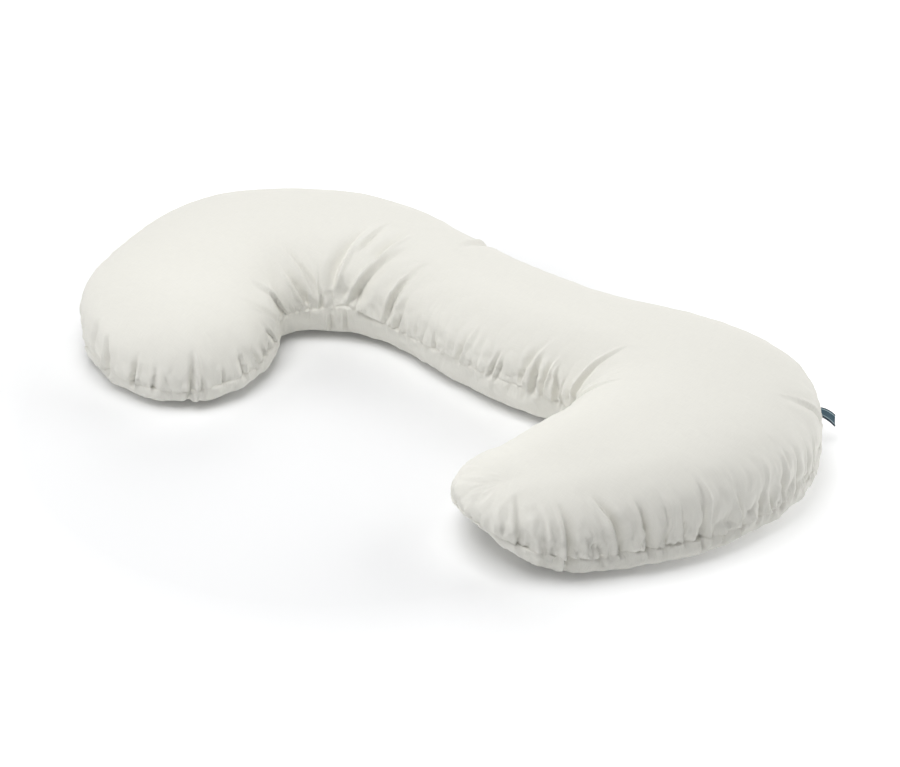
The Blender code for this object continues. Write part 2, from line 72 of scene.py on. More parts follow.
# ---- Gathers and folds. seam_at is measured along the seam from the outer end of the
# left tip, round the back of the C. lean shifts a fold's upper end along the seam,
# start and end are distances up the cloth from the seam (minus is under it).
FOLD_COLUMNS = ("seam_at", "lean", "start", "end", "width", "depth")
FOLDS = (
    # left end and the back of the left bend
    (0.010,  0.010, -0.020, 0.080, 0.026, 0.004),
    (0.094, -0.010, -0.010, 0.095, 0.030, 0.005),
    (0.184,  0.015, -0.015, 0.075, 0.026, 0.004),
    (0.284,  0.000, -0.010, 0.100, 0.032, 0.005),
    (0.402, -0.015, -0.020, 0.080, 0.028, 0.004),
    (0.492,  0.010, -0.010, 0.090, 0.030, 0.005),
    (0.621,  0.000, -0.015, 0.070, 0.026, 0.004),
    (0.729, -0.010, -0.010, 0.095, 0.030, 0.005),
    # back of the waist
    (0.858,  0.015, -0.015, 0.085, 0.028, 0.004),
    (1.014,  0.015, -0.010, 0.200, 0.050, 0.008),
    (1.129, -0.010, -0.015, 0.080, 0.028, 0.005),
    (1.249,  0.010, -0.010, 0.070, 0.026, 0.004),
    (1.379,  0.000, -0.015, 0.090, 0.030, 0.005),
    (1.498, -0.015, -0.010, 0.080, 0.026, 0.004),
    # outside of the right bend, over the tab
    (1.619,  0.010, -0.015, 0.090, 0.030, 0.005),
    (1.718,  0.000, -0.010, 0.080, 0.026, 0.004),
    (1.799,  0.015, -0.010, 0.085, 0.026, 0.005),
    (1.870,  0.060, -0.005, 0.165, 0.030, 0.007),
    (1.922,  0.030, -0.005, 0.075, 0.020, 0.004),
    # outside of the right arm
    (1.974, -0.010, -0.015, 0.080, 0.022, 0.004),
    (2.016, -0.020, -0.010, 0.090, 0.022, 0.006),
    (2.046, -0.005, -0.010, 0.090, 0.022, 0.007),
    (2.078,  0.000, -0.020, 0.095, 0.024, 0.007),
    (2.105,  0.010, -0.020, 0.045, 0.020, 0.004),
    (2.135, -0.015, -0.020, 0.095, 0.022, 0.005),
    (2.173,  0.016, -0.030, 0.080, 0.024, 0.007),
    (2.215, -0.018, -0.030, 0.040, 0.022, 0.005),
    (2.248,  0.000, -0.030, 0.120, 0.026, 0.009),
    (2.283,  0.012, -0.010, 0.080, 0.022, 0.006),
    (2.316,  0.003, -0.010, 0.110, 0.022, 0.005),
    (2.349,  0.012, -0.015, 0.105, 0.030, 0.010),
    (2.392,  0.026, -0.010, 0.120, 0.034, 0.012),
    (2.421,  0.016, -0.020, 0.060, 0.020, 0.006),
    (2.486, -0.004, -0.050, 0.110, 0.032, 0.013),
    (2.518,  0.003, -0.045, 0.095, 0.024, 0.007),
    (2.569,  0.002, -0.010, 0.105, 0.032, 0.009),
    # right tip and the inside of the right arm
    (2.606, -0.008, -0.005, 0.080, 0.022, 0.005),
    (2.642, -0.024, -0.005, 0.075, 0.022, 0.006),
    (2.665,  0.000, -0.010, 0.065, 0.020, 0.007),
    (2.701, -0.036, -0.005, 0.095, 0.026, 0.006),
    (2.797, -0.010, -0.005, 0.070, 0.026, 0.004),
    (2.885,  0.010, -0.010, 0.070, 0.026, 0.004),
    (2.963,  0.000, -0.005, 0.060, 0.024, 0.004),
    # inner corner of the right bend, where the folds fan out
    (3.069, -0.014,  0.015, 0.160, 0.030, 0.005),
    (3.089, -0.008,  0.010, 0.120, 0.026, 0.007),
    (3.105,  0.003,  0.010, 0.175, 0.028, 0.007),
    # inside of the waist
    (3.147,  0.008, -0.005, 0.080, 0.018, 0.006),
    (3.176, -0.010,  0.000, 0.095, 0.020, 0.007),
    (3.202, -0.010, -0.010, 0.085, 0.026, 0.010),
    (3.223, -0.026,  0.005, 0.115, 0.024, 0.008),
    (3.282, -0.020, -0.010, 0.065, 0.020, 0.006),
    (3.299, -0.026, -0.010, 0.065, 0.020, 0.006),
    (3.372, -0.028, -0.010, 0.080, 0.024, 0.007),
    (3.440, -0.006, -0.005, 0.050, 0.018, 0.004),
    # inside of the left bend, long folds that fan out over the crown
    (3.545, -0.030,  0.000, 0.085, 0.022, 0.005),
    (3.578, -0.046,  0.000, 0.155, 0.030, 0.011),
    (3.651, -0.060,  0.010, 0.170, 0.048, 0.013),
    (3.624, -0.016,  0.115, 0.225, 0.032, 0.008),
    (3.657, -0.012,  0.135, 0.235, 0.032, 0.006),
    (3.689, -0.024,  0.045, 0.215, 0.046, 0.011),
    (3.719,  0.048,  0.030, 0.160, 0.028, 0.005),
    (3.737,  0.036,  0.010, 0.105, 0.030, 0.009),
    (3.778,  0.090,  0.000, 0.140, 0.032, 0.009),
    (3.837,  0.095,  0.020, 0.140, 0.026, 0.006),
    (3.863,  0.045,  0.000, 0.080, 0.020, 0.005),
    (3.663,  0.000, -0.055, -0.004, 0.022, 0.006),
    (3.693,  0.000, -0.060, -0.004, 0.024, 0.007),
    # left tip
    (3.905,  0.020, -0.005, 0.045, 0.018, 0.005),
    (3.935,  0.024, -0.010, 0.055, 0.020, 0.008),
    (3.976,  0.012, -0.010, 0.065, 0.022, 0.008),
    (4.029,  0.000, -0.010, 0.050, 0.018, 0.004),
    (4.071,  0.000, -0.015, 0.030, 0.016, 0.004),
    (4.093, -0.018, -0.040, 0.090, 0.024, 0.012),
    (4.170, -0.015, -0.010, 0.055, 0.022, 0.005),
    (4.216, -0.025, -0.020, 0.070, 0.024, 0.010),
    (4.286, -0.006, -0.015, 0.085, 0.026, 0.010),
    (4.335, -0.004, -0.010, 0.105, 0.022, 0.007),
    (4.388,  0.010, -0.015, 0.080, 0.024, 0.005),
    (4.452, -0.010, -0.010, 0.085, 0.026, 0.006),
)
OUTLINE_SAMPLES = 500       # on each side and each tip, to measure the seam
END_STEP = 0.01             # share of the pillow over which its direction at an end is read
# Small gathers that the solid leaves out, given as the main folds are.
FINE_FOLDS = (
    # outside of the right bend and arm
    (1.869,  0.068,  0.085, 0.180, 0.016, 0.003),
    (1.889,  0.030,  0.068, 0.104, 0.014, 0.003),
    (1.938,  0.045,  0.040, 0.072, 0.012, 0.003),
    (2.069, -0.008,  0.066, 0.096, 0.013, 0.003),
    (2.098,  0.014, -0.018, 0.030, 0.012, 0.004),
    (2.268, -0.030, -0.032, -0.008, 0.011, 0.003),
    (2.512, -0.012, -0.026, 0.008, 0.014, 0.005),
    (2.585,  0.002,  0.000, 0.030, 0.012, 0.004),
    (2.600, -0.004,  0.012, 0.044, 0.013, 0.004),
    # waist, by the inner corner of the right bend
    (3.051,  0.034,  0.118, 0.150, 0.016, 0.003),
    (3.135,  0.000, -0.002, 0.060, 0.013, 0.004),
    # left bend, inside
    (3.479, -0.008, -0.012, 0.022, 0.012, 0.004),
    (3.522, -0.012, -0.004, 0.028, 0.012, 0.004),
    (3.545, -0.032,  0.010, 0.068, 0.014, 0.004),
    (3.560, -0.030,  0.092, 0.150, 0.018, 0.004),
    (3.709,  0.006, -0.004, 0.110, 0.016, 0.003),
    (3.716,  0.055,  0.042, 0.160, 0.018, 0.004),
    # left tip
    (3.868,  0.048,  0.014, 0.078, 0.015, 0.004),
    (3.883,  0.026, -0.006, 0.042, 0.012, 0.004),
    (3.909,  0.024, -0.006, 0.048, 0.012, 0.004),
    (4.030,  0.000, -0.008, 0.046, 0.012, 0.004),
    (4.072,  0.000, -0.006, 0.030, 0.011, 0.004),
    (4.102,  0.006, -0.002, 0.030, 0.011, 0.003),
)
# Across a fold, in half widths: one gentle wall and one steep one, a lip raised past the
# steep wall and a low swell before the gentle one. A fold reaches 2.5 widths to each side.
GENTLE_WALL, STEEP_WALL, WALL_POWER = 0.62, 0.16, 1.3
BESIDE_COLUMNS = ("height", "place", "half_width")      # heights are shares of the depth
LIP = (0.5, 0.45, 0.24)
SWELL = (0.2, -1.25, 0.55)
FOLD_REACH = 2.5
CLIMB_POWER = 0.6           # below 1 a fold is deepest nearer its lower end

# Puckers all along the seam: how strongly each stretch of it is gathered.
PUCKER_PLACES = (0.00, 0.20, 0.85, 1.10, 1.35, 1.60, 2.05, 2.20, 2.44, 2.80, 2.92, 3.02, 3.09,
                 3.22, 3.32, 3.44, 3.56, 3.80, 3.95, 4.25, 4.58)
PUCKER_STRENGTHS = (0.3, 0.5, 0.6, 0.4, 0.5, 0.45, 0.5, 1.0, 1.1, 0.4, 0.4, 0.4, 0.8,
                    0.7, 0.5, 0.5, 0.9, 0.8, 0.45, 0.35, 0.3)
PUCKER_GAP = 0.016          # mean distance between neighbouring puckers
PUCKER_SCATTER = (0.45, 1.7)            # in shares of that distance
PUCKER_MIX = (0.35, 1.0)    # many are weaker than their stretch of seam
PUCKER_STARTS = -0.006      # distances up the cloth, as in the tables of folds
PUCKER_REACH = (0.018, 0.085)           # drawn evenly between the two, as the width is
PUCKER_WIDTH = (0.011, 0.024)
PUCKER_LEAN = 0.4           # the most that one leans, as a share of its reach
PUCKER_DEPTH = 0.0078
PUCKER_SEED = 7
UNDER_SHARE = 0.45          # the under panel is gathered less

OUTER_SPACING_PLACES = (0.0, 0.60, 0.74, 1.0)           # shares along the pillow
OUTER_SPACINGS = (0.0050, 0.0050, 0.0030, 0.0028)       # between columns of cloth points
INNER_SPACING = 0.0032
LEFT_TIP_POINTS = 151
RIGHT_TIP_POINTS = 121
TOP_POINTS = 39             # from the seam to the ridge of the crown
UNDER_POINTS = 25
LENGTH_SAMPLES, ROW_SAMPLES = 4001, 161                 # to measure the sides and a column
SHORT_OF_END = 0.999999     # keeps a side's last column off the first of the next leg
ROW_CROWDING = 1.65         # the rows crowd together towards the seam
RIDGE_GAP = 0.0035          # ridge points closer than this become one
PANEL_APART = 1.6           # the two panels lie this far apart on the flat cloth
EASE_COLUMNS = 26           # columns each side of a tip's base over which it eases in
EASE_STRENGTH = 1.2         # above 1 the nearest columns ease in fully
EASE_PASSES = 160
SEAM_GROOVE = 0.0018        # the seam is drawn in this much more, over the width below
SEAM_GROOVE_WIDTH = 0.0030
FOLD_SHARE_PLACES = (0.0, 2.54, 2.60, 2.80, 2.95, 4.58)     # main folds' share of their depth
FOLD_SHARES = (1.3, 1.3, 0.20, 0.15, 1.3, 1.4)
HOLLOW_COLUMNS = ("seam_at", "up_at", "half_width", "half_height", "depth")
HOLLOWS = (                 # where the gathered cloth is drawn in over a wider stretch
    (1.820, 0.030, 0.140, 0.035, 0.005),
    (3.668, 0.032, 0.040, 0.034, 0.009),
)
TUCK_COLUMNS = ("seam_at", "length", "reach", "out")
TUCKS = (                   # where a pleat of the upper cloth starts and laps over the seam
    (3.642, 0.060, 0.024, 0.009),
)
TUCK_END, TUCK_EDGE = 0.004, 0.003      # over these it comes out, at its end and at the seam
CLOTH_INSET = 0.0012        # the filled folds stand proud of the plain form by about this much
INSET_REACH = 0.02          # the inset sets in over this distance from the seam
LUMP_HEIGHT = 0.0016        # the loose filling under the cloth
LUMP_SIZE = 0.11
LUMP_REACH = 0.05           # the lumps set in over this distance from the seam
LUMP_SEED, CRUMPLE_SEED = 1, 2
NOISE_SHIFT = (3.1, 1.7)    # takes the noises of different seeds apart
CRUMPLE_COLUMNS = ("size", "height", "reach")
CRUMPLES = (                # creases between flatter facets, fading with distance up the cloth
    (0.075, 0.0036, 0.130),
    (0.032, 0.0016, 0.085),
    (0.014, 0.0006, 0.050),
)
CRUMPLE_SHARPNESS = 2.5
CRUMPLE_MEAN = 0.5          # height that is taken off, so that the cloth stays in place
BULGE_COLUMNS = ("across", "tall", "height", "reach")
BULGES = (                  # the cloth puffs out between the creases that the gathering leaves
    (0.030, 0.050, 0.0068, 0.075),
    (0.014, 0.028, 0.0028, 0.040),
)
BULGE_PLACES = (0.0, 0.25, 0.90, 1.20, 1.50, 1.80, 2.00, 2.54, 2.62, 2.78, 2.92, 3.05, 3.32,
                3.56, 3.64, 3.72, 3.80, 3.95, 4.25, 4.58)
BULGE_STRENGTHS = (0.3, 0.7, 0.7, 0.5, 0.6, 0.8, 1.0, 1.0, 0.45, 0.4, 0.6, 0.9, 0.7,
                   0.7, 0.25, 0.25, 0.8, 0.7, 0.3, 0.3)
BULGE_WANDER, BULGE_WANDER_SCALE = 0.25, 1.3            # of the creases between the bulges
BULGE_SEED = 1
BULGE_STEEPNESS = 1.6       # above 1 a bulge is flat in its middle
BULGE_MEAN = 0.4            # height that is taken off here
SMALLEST_CELL = 0.1         # a bulge narrower than this stays low
SEAM_WAVER_REACH = 0.05
SEAM_WAVER = (              # the seam line rises and falls, evenly spaced round the seam
    0.000, 0.002, -0.001, 0.001, -0.002, 0.000, 0.002, -0.001, 0.001, 0.000, -0.002, 0.001,
    0.002, 0.000, -0.001, 0.002, 0.000, -0.002, 0.001, 0.000, 0.002, -0.001, -0.002, 0.000,
    -0.002, -0.006, -0.010, -0.014, -0.016, -0.013, -0.007, -0.002, -0.002, 0.003, -0.002, 0.001,
    0.003, -0.001, 0.000, 0.002, -0.002, 0.001, 0.000, -0.001, -0.002, -0.008, -0.014, -0.013,
    0.009, 0.002, 0.002, 0.000, -0.001, 0.001, -0.002, 0.002, 0.000, -0.001, 0.001, -0.002,
    0.000,
)


def natural_spline(knots, values, at):
    """Read a natural cubic spline through the knots; values may hold several columns."""
    steps = np.diff(knots)
    last = len(knots) - 1
    matrix = np.eye(len(knots))
    right = np.zeros_like(values)
    for i in range(1, last):
        matrix[i, i - 1:i + 2] = steps[i - 1], 2 * (steps[i - 1] + steps[i]), steps[i]
        slope_before = (values[i] - values[i - 1]) / steps[i - 1]
        slope_after = (values[i + 1] - values[i]) / steps[i]
        right[i] = 6 * (slope_after - slope_before)
    bend = np.linalg.solve(matrix, right)
    i = np.clip(np.searchsorted(knots, at, side="right") - 1, 0, last - 1)
    step = steps[i][:, None]
    before = (knots[i + 1] - at)[:, None]
    after = (at - knots[i])[:, None]
    curve = (bend[i] * before ** 3 + bend[i + 1] * after ** 3) / (6 * step)
    chord_start = (values[i] / step - bend[i] * step / 6) * before
    chord_end = (values[i + 1] / step - bend[i + 1] * step / 6) * after
    return curve + chord_start + chord_end


def section_at(share):
    """Sections at shares 0..1 of the way from the left tip to the right tip."""
    table = np.array([row[1:] for row in SECTIONS])
    middles = (table[:, 0:2] + table[:, 2:4]) / 2
    along = np.concatenate([[0.0], np.cumsum(np.hypot(*np.diff(middles, axis=0).T))])
    values = natural_spline(along, table, share * along[-1])
    found = dict(zip(SECTION_COLUMNS[1:], values.T))
    found["inner"], found["outer"] = values[:, 0:2], values[:, 2:4]
    return found


def tip_frame(first_edge, second_edge, inwards, reach, sweep):
    """Middle, half width and forward axis of a rounded tip between two seam points."""
    middle = (first_edge + second_edge) / 2
    half = (first_edge - second_edge) / 2
    sideways = half / np.linalg.norm(half)
    forward = np.array([-sideways[1], sideways[0]])
    if forward @ (inwards - middle) > 0:
        forward = -forward
    return middle, half, forward * reach + sideways * sweep


def seam_columns(turn):
    """Columns of cloth at turns 0..4 round the seam: outside, right tip, inside, left tip.

    Each column runs from its seam point (edge) up to its foot on the ridge of the crown.
    ahead and across say how far it points along and across the pillow in a tip.
    """
    turn = np.mod(turn, 4.0)
    leg = np.minimum(turn.astype(int), 3)
    part = turn - leg
    count = len(turn)
    cols = {"edge": np.zeros((count, 2)), "foot": np.zeros((count, 2)), "crown": np.zeros(count),
            "seam": np.zeros(count), "ahead": np.zeros(count), "across": np.ones(count),
            "top_power": np.zeros(count), "under_power": np.full(count, UNDER_POWER)}

    def fill(pick, **values):
        for name, value in values.items():
            cols[name][pick] = value

    for number, side in ((0, "outer"), (2, "inner")):
        pick = leg == number
        found = section_at(part[pick] if number == 0 else 1 - part[pick])
        fill(pick, edge=found[side], foot=(found["inner"] + found["outer"]) / 2,
             crown=found["crown"], seam=found[side + "_seam"], top_power=found[side + "_power"])
    ends = section_at(np.array([0.0, END_STEP, 1 - END_STEP, 1.0]))
    spine = (ends["inner"] + ends["outer"]) / 2
    for number, row, inwards, first, second, tip, way in (
            (1, 3, spine[2], "outer", "inner", RIGHT_TIP, 1),
            (3, 0, spine[1], "inner", "outer", LEFT_TIP, -1)):
        reach, lean, seam_rise, crown_drop, toe = tip
        pick = leg == number
        angle = part[pick] * math.pi
        ahead, across = np.sin(angle), np.cos(angle)
        middle, half, forward = tip_frame(ends[first][row], ends[second][row],
                                          inwards, reach, -way * lean)
        first_seam, second_seam = (ends[side + "_seam"][row] for side in (first, second))
        level = first_seam * (1 + across) / 2 + second_seam * (1 - across) / 2
        fill(pick, ahead=ahead, across=across,
             edge=middle + np.outer(ahead, forward) + np.outer(across, half),
             foot=middle + np.outer(RIDGE_SHARE * ahead, forward),
             crown=ends["crown"][row] - crown_drop * ahead ** 2,
             seam=level + seam_rise * ahead ** 2,
             top_power=ends[first + "_power"][row], under_power=UNDER_POWER - toe * ahead)
    return cols


def measure_seam():
    """The seam's length at each turn, to turn metres along the seam into turns."""
    turns = np.linspace(0.0, 4.0, 4 * OUTLINE_SAMPLES + 1)
    edge = seam_columns(turns)["edge"]
    metres = np.concatenate([[0.0], np.cumsum(np.hypot(*np.diff(edge, axis=0).T))])
    return turns, metres


def panel_points(cols, rows, over):
    """Points of one panel, a column from the seam towards the ridge, and the way out of it."""
    power = cols["top_power" if over else "under_power"][:, None]
    ridge = RIDGE_SHARE * cols["ahead"][:, None]
    angle = np.arccos(np.minimum(1.0, ridge ** (power / 2))) * rows
    spread = np.cos(angle) ** (2 / power)
    rise = (1 - np.minimum(spread, 1.0) ** power) ** (1 / power)
    a = (((1 - RIDGE_SHARE) * cols["ahead"]) ** 2 + cols["across"] ** 2)[:, None]
    b = 2 * (1 - RIDGE_SHARE) * ridge * cols["ahead"][:, None]
    c = ridge ** 2 - spread ** 2
    out_share = (-b + np.sqrt(np.maximum(b ** 2 - 4 * a * c, 0))) / (2 * a)
    run = cols["edge"] - cols["foot"]
    width = np.linalg.norm(run, axis=1)
    out = run / width[:, None]
    bulge = SEAM_DRAW_IN * np.sin(np.minimum(2 * angle, math.pi)) * spread
    flat = cols["foot"][:, None] + run[:, None] * out_share[..., None]
    flat += out[:, None] * bulge[..., None]
    seam = cols["seam"][:, None]
    if over:
        tall = cols["crown"][:, None] - seam
        height = seam + tall * rise
    else:
        tall = -seam * FLOOR_PRESS
        height = np.maximum(seam + tall * rise, 0.0)
    points = np.concatenate([flat, height[..., None]], axis=2)
    sideways = spread ** (power - 1) / width[:, None]
    upwards = rise ** (power - 1) / tall
    normal = np.concatenate([out[:, None] * sideways[..., None], upwards[..., None]], axis=2)
    return points, normal / np.linalg.norm(normal, axis=2)[..., None]


def column_shares():
    """Shares along the pillow of the cloth's columns, closest where the gathers are seen."""
    share = np.linspace(0.0, 1.0, LENGTH_SAMPLES)
    found = section_at(share)
    outer_spacing = np.interp(share[1:], OUTER_SPACING_PLACES, OUTER_SPACINGS)
    outer_run = np.linalg.norm(np.diff(found["outer"], axis=0), axis=1) / outer_spacing
    inner_run = np.linalg.norm(np.diff(found["inner"], axis=0), axis=1) / INNER_SPACING
    run = np.concatenate([[0.0], np.cumsum(np.maximum(outer_run, inner_run))])
    return np.interp(np.linspace(0.0, run[-1], int(run[-1]) + 1), run, share)


def run_along(rows):
    """Distance up each column of cloth points from the seam."""
    steps = np.linalg.norm(np.diff(rows, axis=1), axis=2)
    return np.concatenate([np.zeros((len(rows), 1)), np.cumsum(steps, axis=1)], axis=1)


def spaced_panel(cols, over, count):
    """A panel whose rows are spaced by length up the cloth."""
    probe = np.linspace(0.0, 1.0, ROW_SAMPLES)
    run = run_along(panel_points(cols, probe, over)[0])
    wanted = np.linspace(0.0, 1.0, count) ** ROW_CROWDING
    rows = np.array([np.interp(wanted * reach[-1], reach, probe) for reach in run])
    return panel_points(cols, rows, over)


def ease(panel, bases):
    """Smooth a panel along the seam where a rounded tip meets the body."""
    count = len(panel)
    strength = np.zeros(count)
    for base in bases:
        apart = np.abs((np.arange(count) - base + count / 2) % count - count / 2)
        strength = np.maximum(strength, np.clip(EASE_STRENGTH - apart / EASE_COLUMNS, 0.0, 1.0))
    strength = strength[:, None, None] / 2
    for _ in range(EASE_PASSES):
        between = (np.roll(panel, 1, axis=0) + np.roll(panel, -1, axis=0)) / 2
        panel = panel + strength * (between - panel)
    return panel


def round_seam(metres, seam_at, length):
    """Distance along the seam from one place on it, the shorter way round."""
    return np.mod(metres - seam_at + length / 2, length) - length / 2


def gathers(table, metres, up, stretch, length):
    """How far a table's folds push the cloth in; three in five have the same wall steep."""
    push = np.zeros_like(up)
    for number, (seam_at, lean, start, end, width, depth) in enumerate(table):
        aside = round_seam(metres, seam_at, length)
        near = np.nonzero(np.abs(aside) < abs(lean) + FOLD_REACH * width)[0]
        if not len(near):
            continue
        climb = np.clip((up[near] - start) / (end - start), 0.0, 1.0)
        steep = 1.0 if number * 7 % 5 < 3 else -1.0
        x = steep * (aside[near, None] - lean * climb) * stretch[near] / (width / 2)
        gentle = np.exp(-(np.maximum(-x, 0.0) / GENTLE_WALL) ** WALL_POWER)
        wall = np.exp(-(np.maximum(x, 0.0) / STEEP_WALL) ** WALL_POWER)
        lip, swell = (height * np.exp(-((x - place) / half_width) ** 2)
                      for height, place, half_width in (LIP, SWELL))
        lift = depth * np.sin(math.pi * climb ** CLIMB_POWER)
        push[near] += lift * (gentle * wall - lip - swell)
    return push


def pucker_table(length, over):
    """Small puckers at random places, drawn from a fixed seed."""
    draw = np.random.default_rng(PUCKER_SEED + over)
    table = []
    place = 0.0
    while place < length:
        place += PUCKER_GAP * draw.uniform(*PUCKER_SCATTER)
        strength = np.interp(place, PUCKER_PLACES, PUCKER_STRENGTHS) * draw.uniform(*PUCKER_MIX)
        reach = draw.uniform(*PUCKER_REACH) * (0.5 + 0.5 * strength)
        width = draw.uniform(*PUCKER_WIDTH)
        lean = draw.uniform(-PUCKER_LEAN, PUCKER_LEAN) * reach
        depth = PUCKER_DEPTH * strength * draw.uniform(*PUCKER_MIX)
        table.append((place, lean, PUCKER_STARTS, reach, width, depth))
    return table


def lumps(points, size, seed):
    """Smooth noise of the given size, about -1 to 1."""
    shift = Vector((seed * NOISE_SHIFT[0], seed * NOISE_SHIFT[1], 0.0))
    flat = points.reshape(-1, 3)
    values = [noise.noise(Vector(point) / size + shift) for point in flat]
    return np.array(values).reshape(points.shape[:-1])


def bulges(metres, up, across, tall, seed, length):
    """Cloth puffed out between sharp creases: 0 in a crease, 1 in the middle of a bulge."""
    turn = 2 * math.pi * metres / length
    around = length / (2 * math.pi * across)
    values = np.empty(up.shape)
    noise.seed_set(BULGE_SEED)      # noise_vector would start from the clock
    for column, (x, y) in enumerate(zip(around * np.cos(turn), around * np.sin(turn))):
        for row, climbed in enumerate(up[column] / tall):
            place = Vector((x, y, climbed + seed))
            place += BULGE_WANDER * noise.noise_vector(place * BULGE_WANDER_SCALE)
            near, far = noise.voronoi(place)[0][:2]
            inside = BULGE_STEEPNESS * (far - near) / max(far, SMALLEST_CELL)
            values[column, row] = min(1.0, inside)
    return values


def fading(up, reach):
    """From 1 at the seam to 0 well past a reach."""
    return np.exp(-(up / reach) ** 2)


def setting_in(up, reach):
    """From 0 at the seam to 1 at a reach."""
    return np.clip(up / reach, 0.0, 1.0)


def creased(panel, normal, inwards, metres, length, over):
    """Press the folds, puckers, lumps, creases and seam groove into a panel."""
    up = run_along(panel)
    signed = up if over else -up
    beside = np.roll(panel, -1, axis=0) - np.roll(panel, 1, axis=0)
    apart = np.linalg.norm(beside, axis=2)
    stretch = apart / apart[:, :1]
    push = gathers(FOLDS, metres, signed, stretch, length)
    push *= np.interp(metres, FOLD_SHARE_PLACES, FOLD_SHARES)[:, None]
    push += gathers(FINE_FOLDS, metres, signed, stretch, length)
    share = 1.0 if over else UNDER_SHARE
    push += share * gathers(pucker_table(length, over), metres, up, stretch, length)
    push -= LUMP_HEIGHT * lumps(panel, LUMP_SIZE, LUMP_SEED) * setting_in(up, LUMP_REACH)
    for size, height, reach in CRUMPLES:
        ridged = 1 - CRUMPLE_SHARPNESS * np.abs(lumps(panel, size, CRUMPLE_SEED + over))
        push -= height * (ridged - CRUMPLE_MEAN) * fading(up, reach)
    puffed = share * np.interp(metres, BULGE_PLACES, BULGE_STRENGTHS)[:, None]
    for number, (across, tall, height, reach) in enumerate(BULGES):
        seed = 7 * number + 3 * over        # far enough apart for each size and panel
        crease = 1 - bulges(metres, up, across, tall, seed, length)
        push += height * puffed * (crease - BULGE_MEAN) * fading(up, reach)
    if over:
        for seam_at, up_at, half_width, half_height, depth in HOLLOWS:
            aside = round_seam(metres, seam_at, length)[:, None]
            push += depth * np.exp(-(aside / half_width) ** 2 - ((up - up_at) / half_height) ** 2)
        for seam_at, reach_along, reach_up, out in TUCKS:
            past = seam_at - metres[:, None]
            pleat = setting_in(past, TUCK_END) * np.exp(-np.maximum(past, 0.0) / reach_along)
            push -= out * pleat * setting_in(up, TUCK_EDGE) * fading(up, reach_up)
    push += CLOTH_INSET * setting_in(up, INSET_REACH)
    groove = SEAM_GROOVE * np.exp(-up / SEAM_GROOVE_WIDTH)
    moved = panel - normal * push[..., None] + inwards[:, None] * groove[..., None]
    waver = np.interp(metres, np.linspace(0.0, length, len(SEAM_WAVER)), SEAM_WAVER)
    moved[..., 2] += waver[:, None] * fading(up, SEAM_WAVER_REACH)
    moved[..., 2] = np.maximum(moved[..., 2], 0.0)
    resting = panel[..., 2] <= 0.0
    moved[resting] = panel[resting]
    return moved


def flat_pattern(panel, foot, inwards, over):
    """Where each point of a panel lies on the cloth before it is sewn, in metres."""
    run = run_along(panel)
    flat = foot[:, None] - inwards[:, None] * (run[:, -1:] - run)[..., None]
    return flat if over else flat * (1, -1) + (0, PANEL_APART)


def shared_ridge(feet, sides, tips):
    """The column whose ridge point each column shares: its twin over the ridge, or a near one."""
    twin = np.arange(len(feet))
    first = sides + RIGHT_TIP_POINTS
    twin[first:first + sides] = np.arange(sides)[::-1]
    for start, count in tips:
        along_tip = np.arange(count)
        twin[start + along_tip] = start + np.minimum(along_tip, along_tip[::-1])
        last = start
        for column in range(start + 1, start + count // 2 + 1):
            if np.linalg.norm(feet[column] - feet[last]) < RIDGE_GAP:
                twin[twin == column] = last
            else:
                last = column
    return twin


def pillow_cloth():
    """Cloth points round the seam, faces, each face's corners on the flat cloth, and the grids."""
    shares = column_shares()
    sides = len(shares)
    right = np.linspace(0.0, 1.0, RIGHT_TIP_POINTS + 2)[1:-1]
    left = np.linspace(0.0, 1.0, LEFT_TIP_POINTS + 2)[1:-1]
    inside = 3 - shares[::-1] * SHORT_OF_END
    turn = np.concatenate([shares * SHORT_OF_END, 1 + right, inside, 3 + left])
    count = len(turn)
    cols = seam_columns(turn)
    turns, metres = measure_seam()
    places = np.interp(turn, turns, metres)
    length = metres[-1]
    inner_start = sides + RIGHT_TIP_POINTS
    bases = (0, sides, inner_start, inner_start + sides)
    inwards = cols["foot"] - cols["edge"]
    inwards /= np.linalg.norm(inwards, axis=1)[:, None]
    inwards = np.column_stack([inwards, np.zeros(count)])
    panels, patterns = [], []
    for over, rows in ((True, TOP_POINTS), (False, UNDER_POINTS)):
        panel, normal = spaced_panel(cols, over, rows)
        panel = ease(panel, bases)
        patterns.append(flat_pattern(panel, cols["foot"], inwards[:, :2], over))
        panels.append(creased(panel, normal, inwards, places, length, over))
    top, under = panels
    top[:, 0] = (top[:, 0] + under[:, 0]) / 2
    under[:, 0] = top[:, 0]

    tips = ((bases[1], RIGHT_TIP_POINTS), (bases[3], LEFT_TIP_POINTS))
    foot_ids, foot_of = np.unique(shared_ridge(cols["foot"], sides, tips), return_inverse=True)
    grids, points, used = [], [], 0
    for panel in panels:
        ids = [grids[0][0]] if grids else []
        for row in range(len(grids), panel.shape[1] - 1):
            ids.append(np.arange(count) + used)
            points.append(panel[:, row])
            used += count
        ids.append(foot_of + used)
        points.append(panel[foot_ids, -1])
        used += len(foot_ids)
        grids.append(ids)
    faces, corners = [], []
    for number, (grid, pattern) in enumerate(zip(grids, patterns)):
        order = slice(None, None, 1 if number else -1)
        for row, (low, high) in enumerate(zip(grid, grid[1:])):
            start, end = pattern[:, row], pattern[:, row + 1]
            for found, first, last in ((faces, low, high), (corners, start, end)):
                quad = (first, np.roll(first, -1, axis=0), np.roll(last, -1, axis=0), last)
                found.append(np.stack(quad, axis=1)[:, order])
    points, faces, corners = (np.concatenate(found) for found in (points, faces, corners))
    return points, faces, corners, grids, places, length


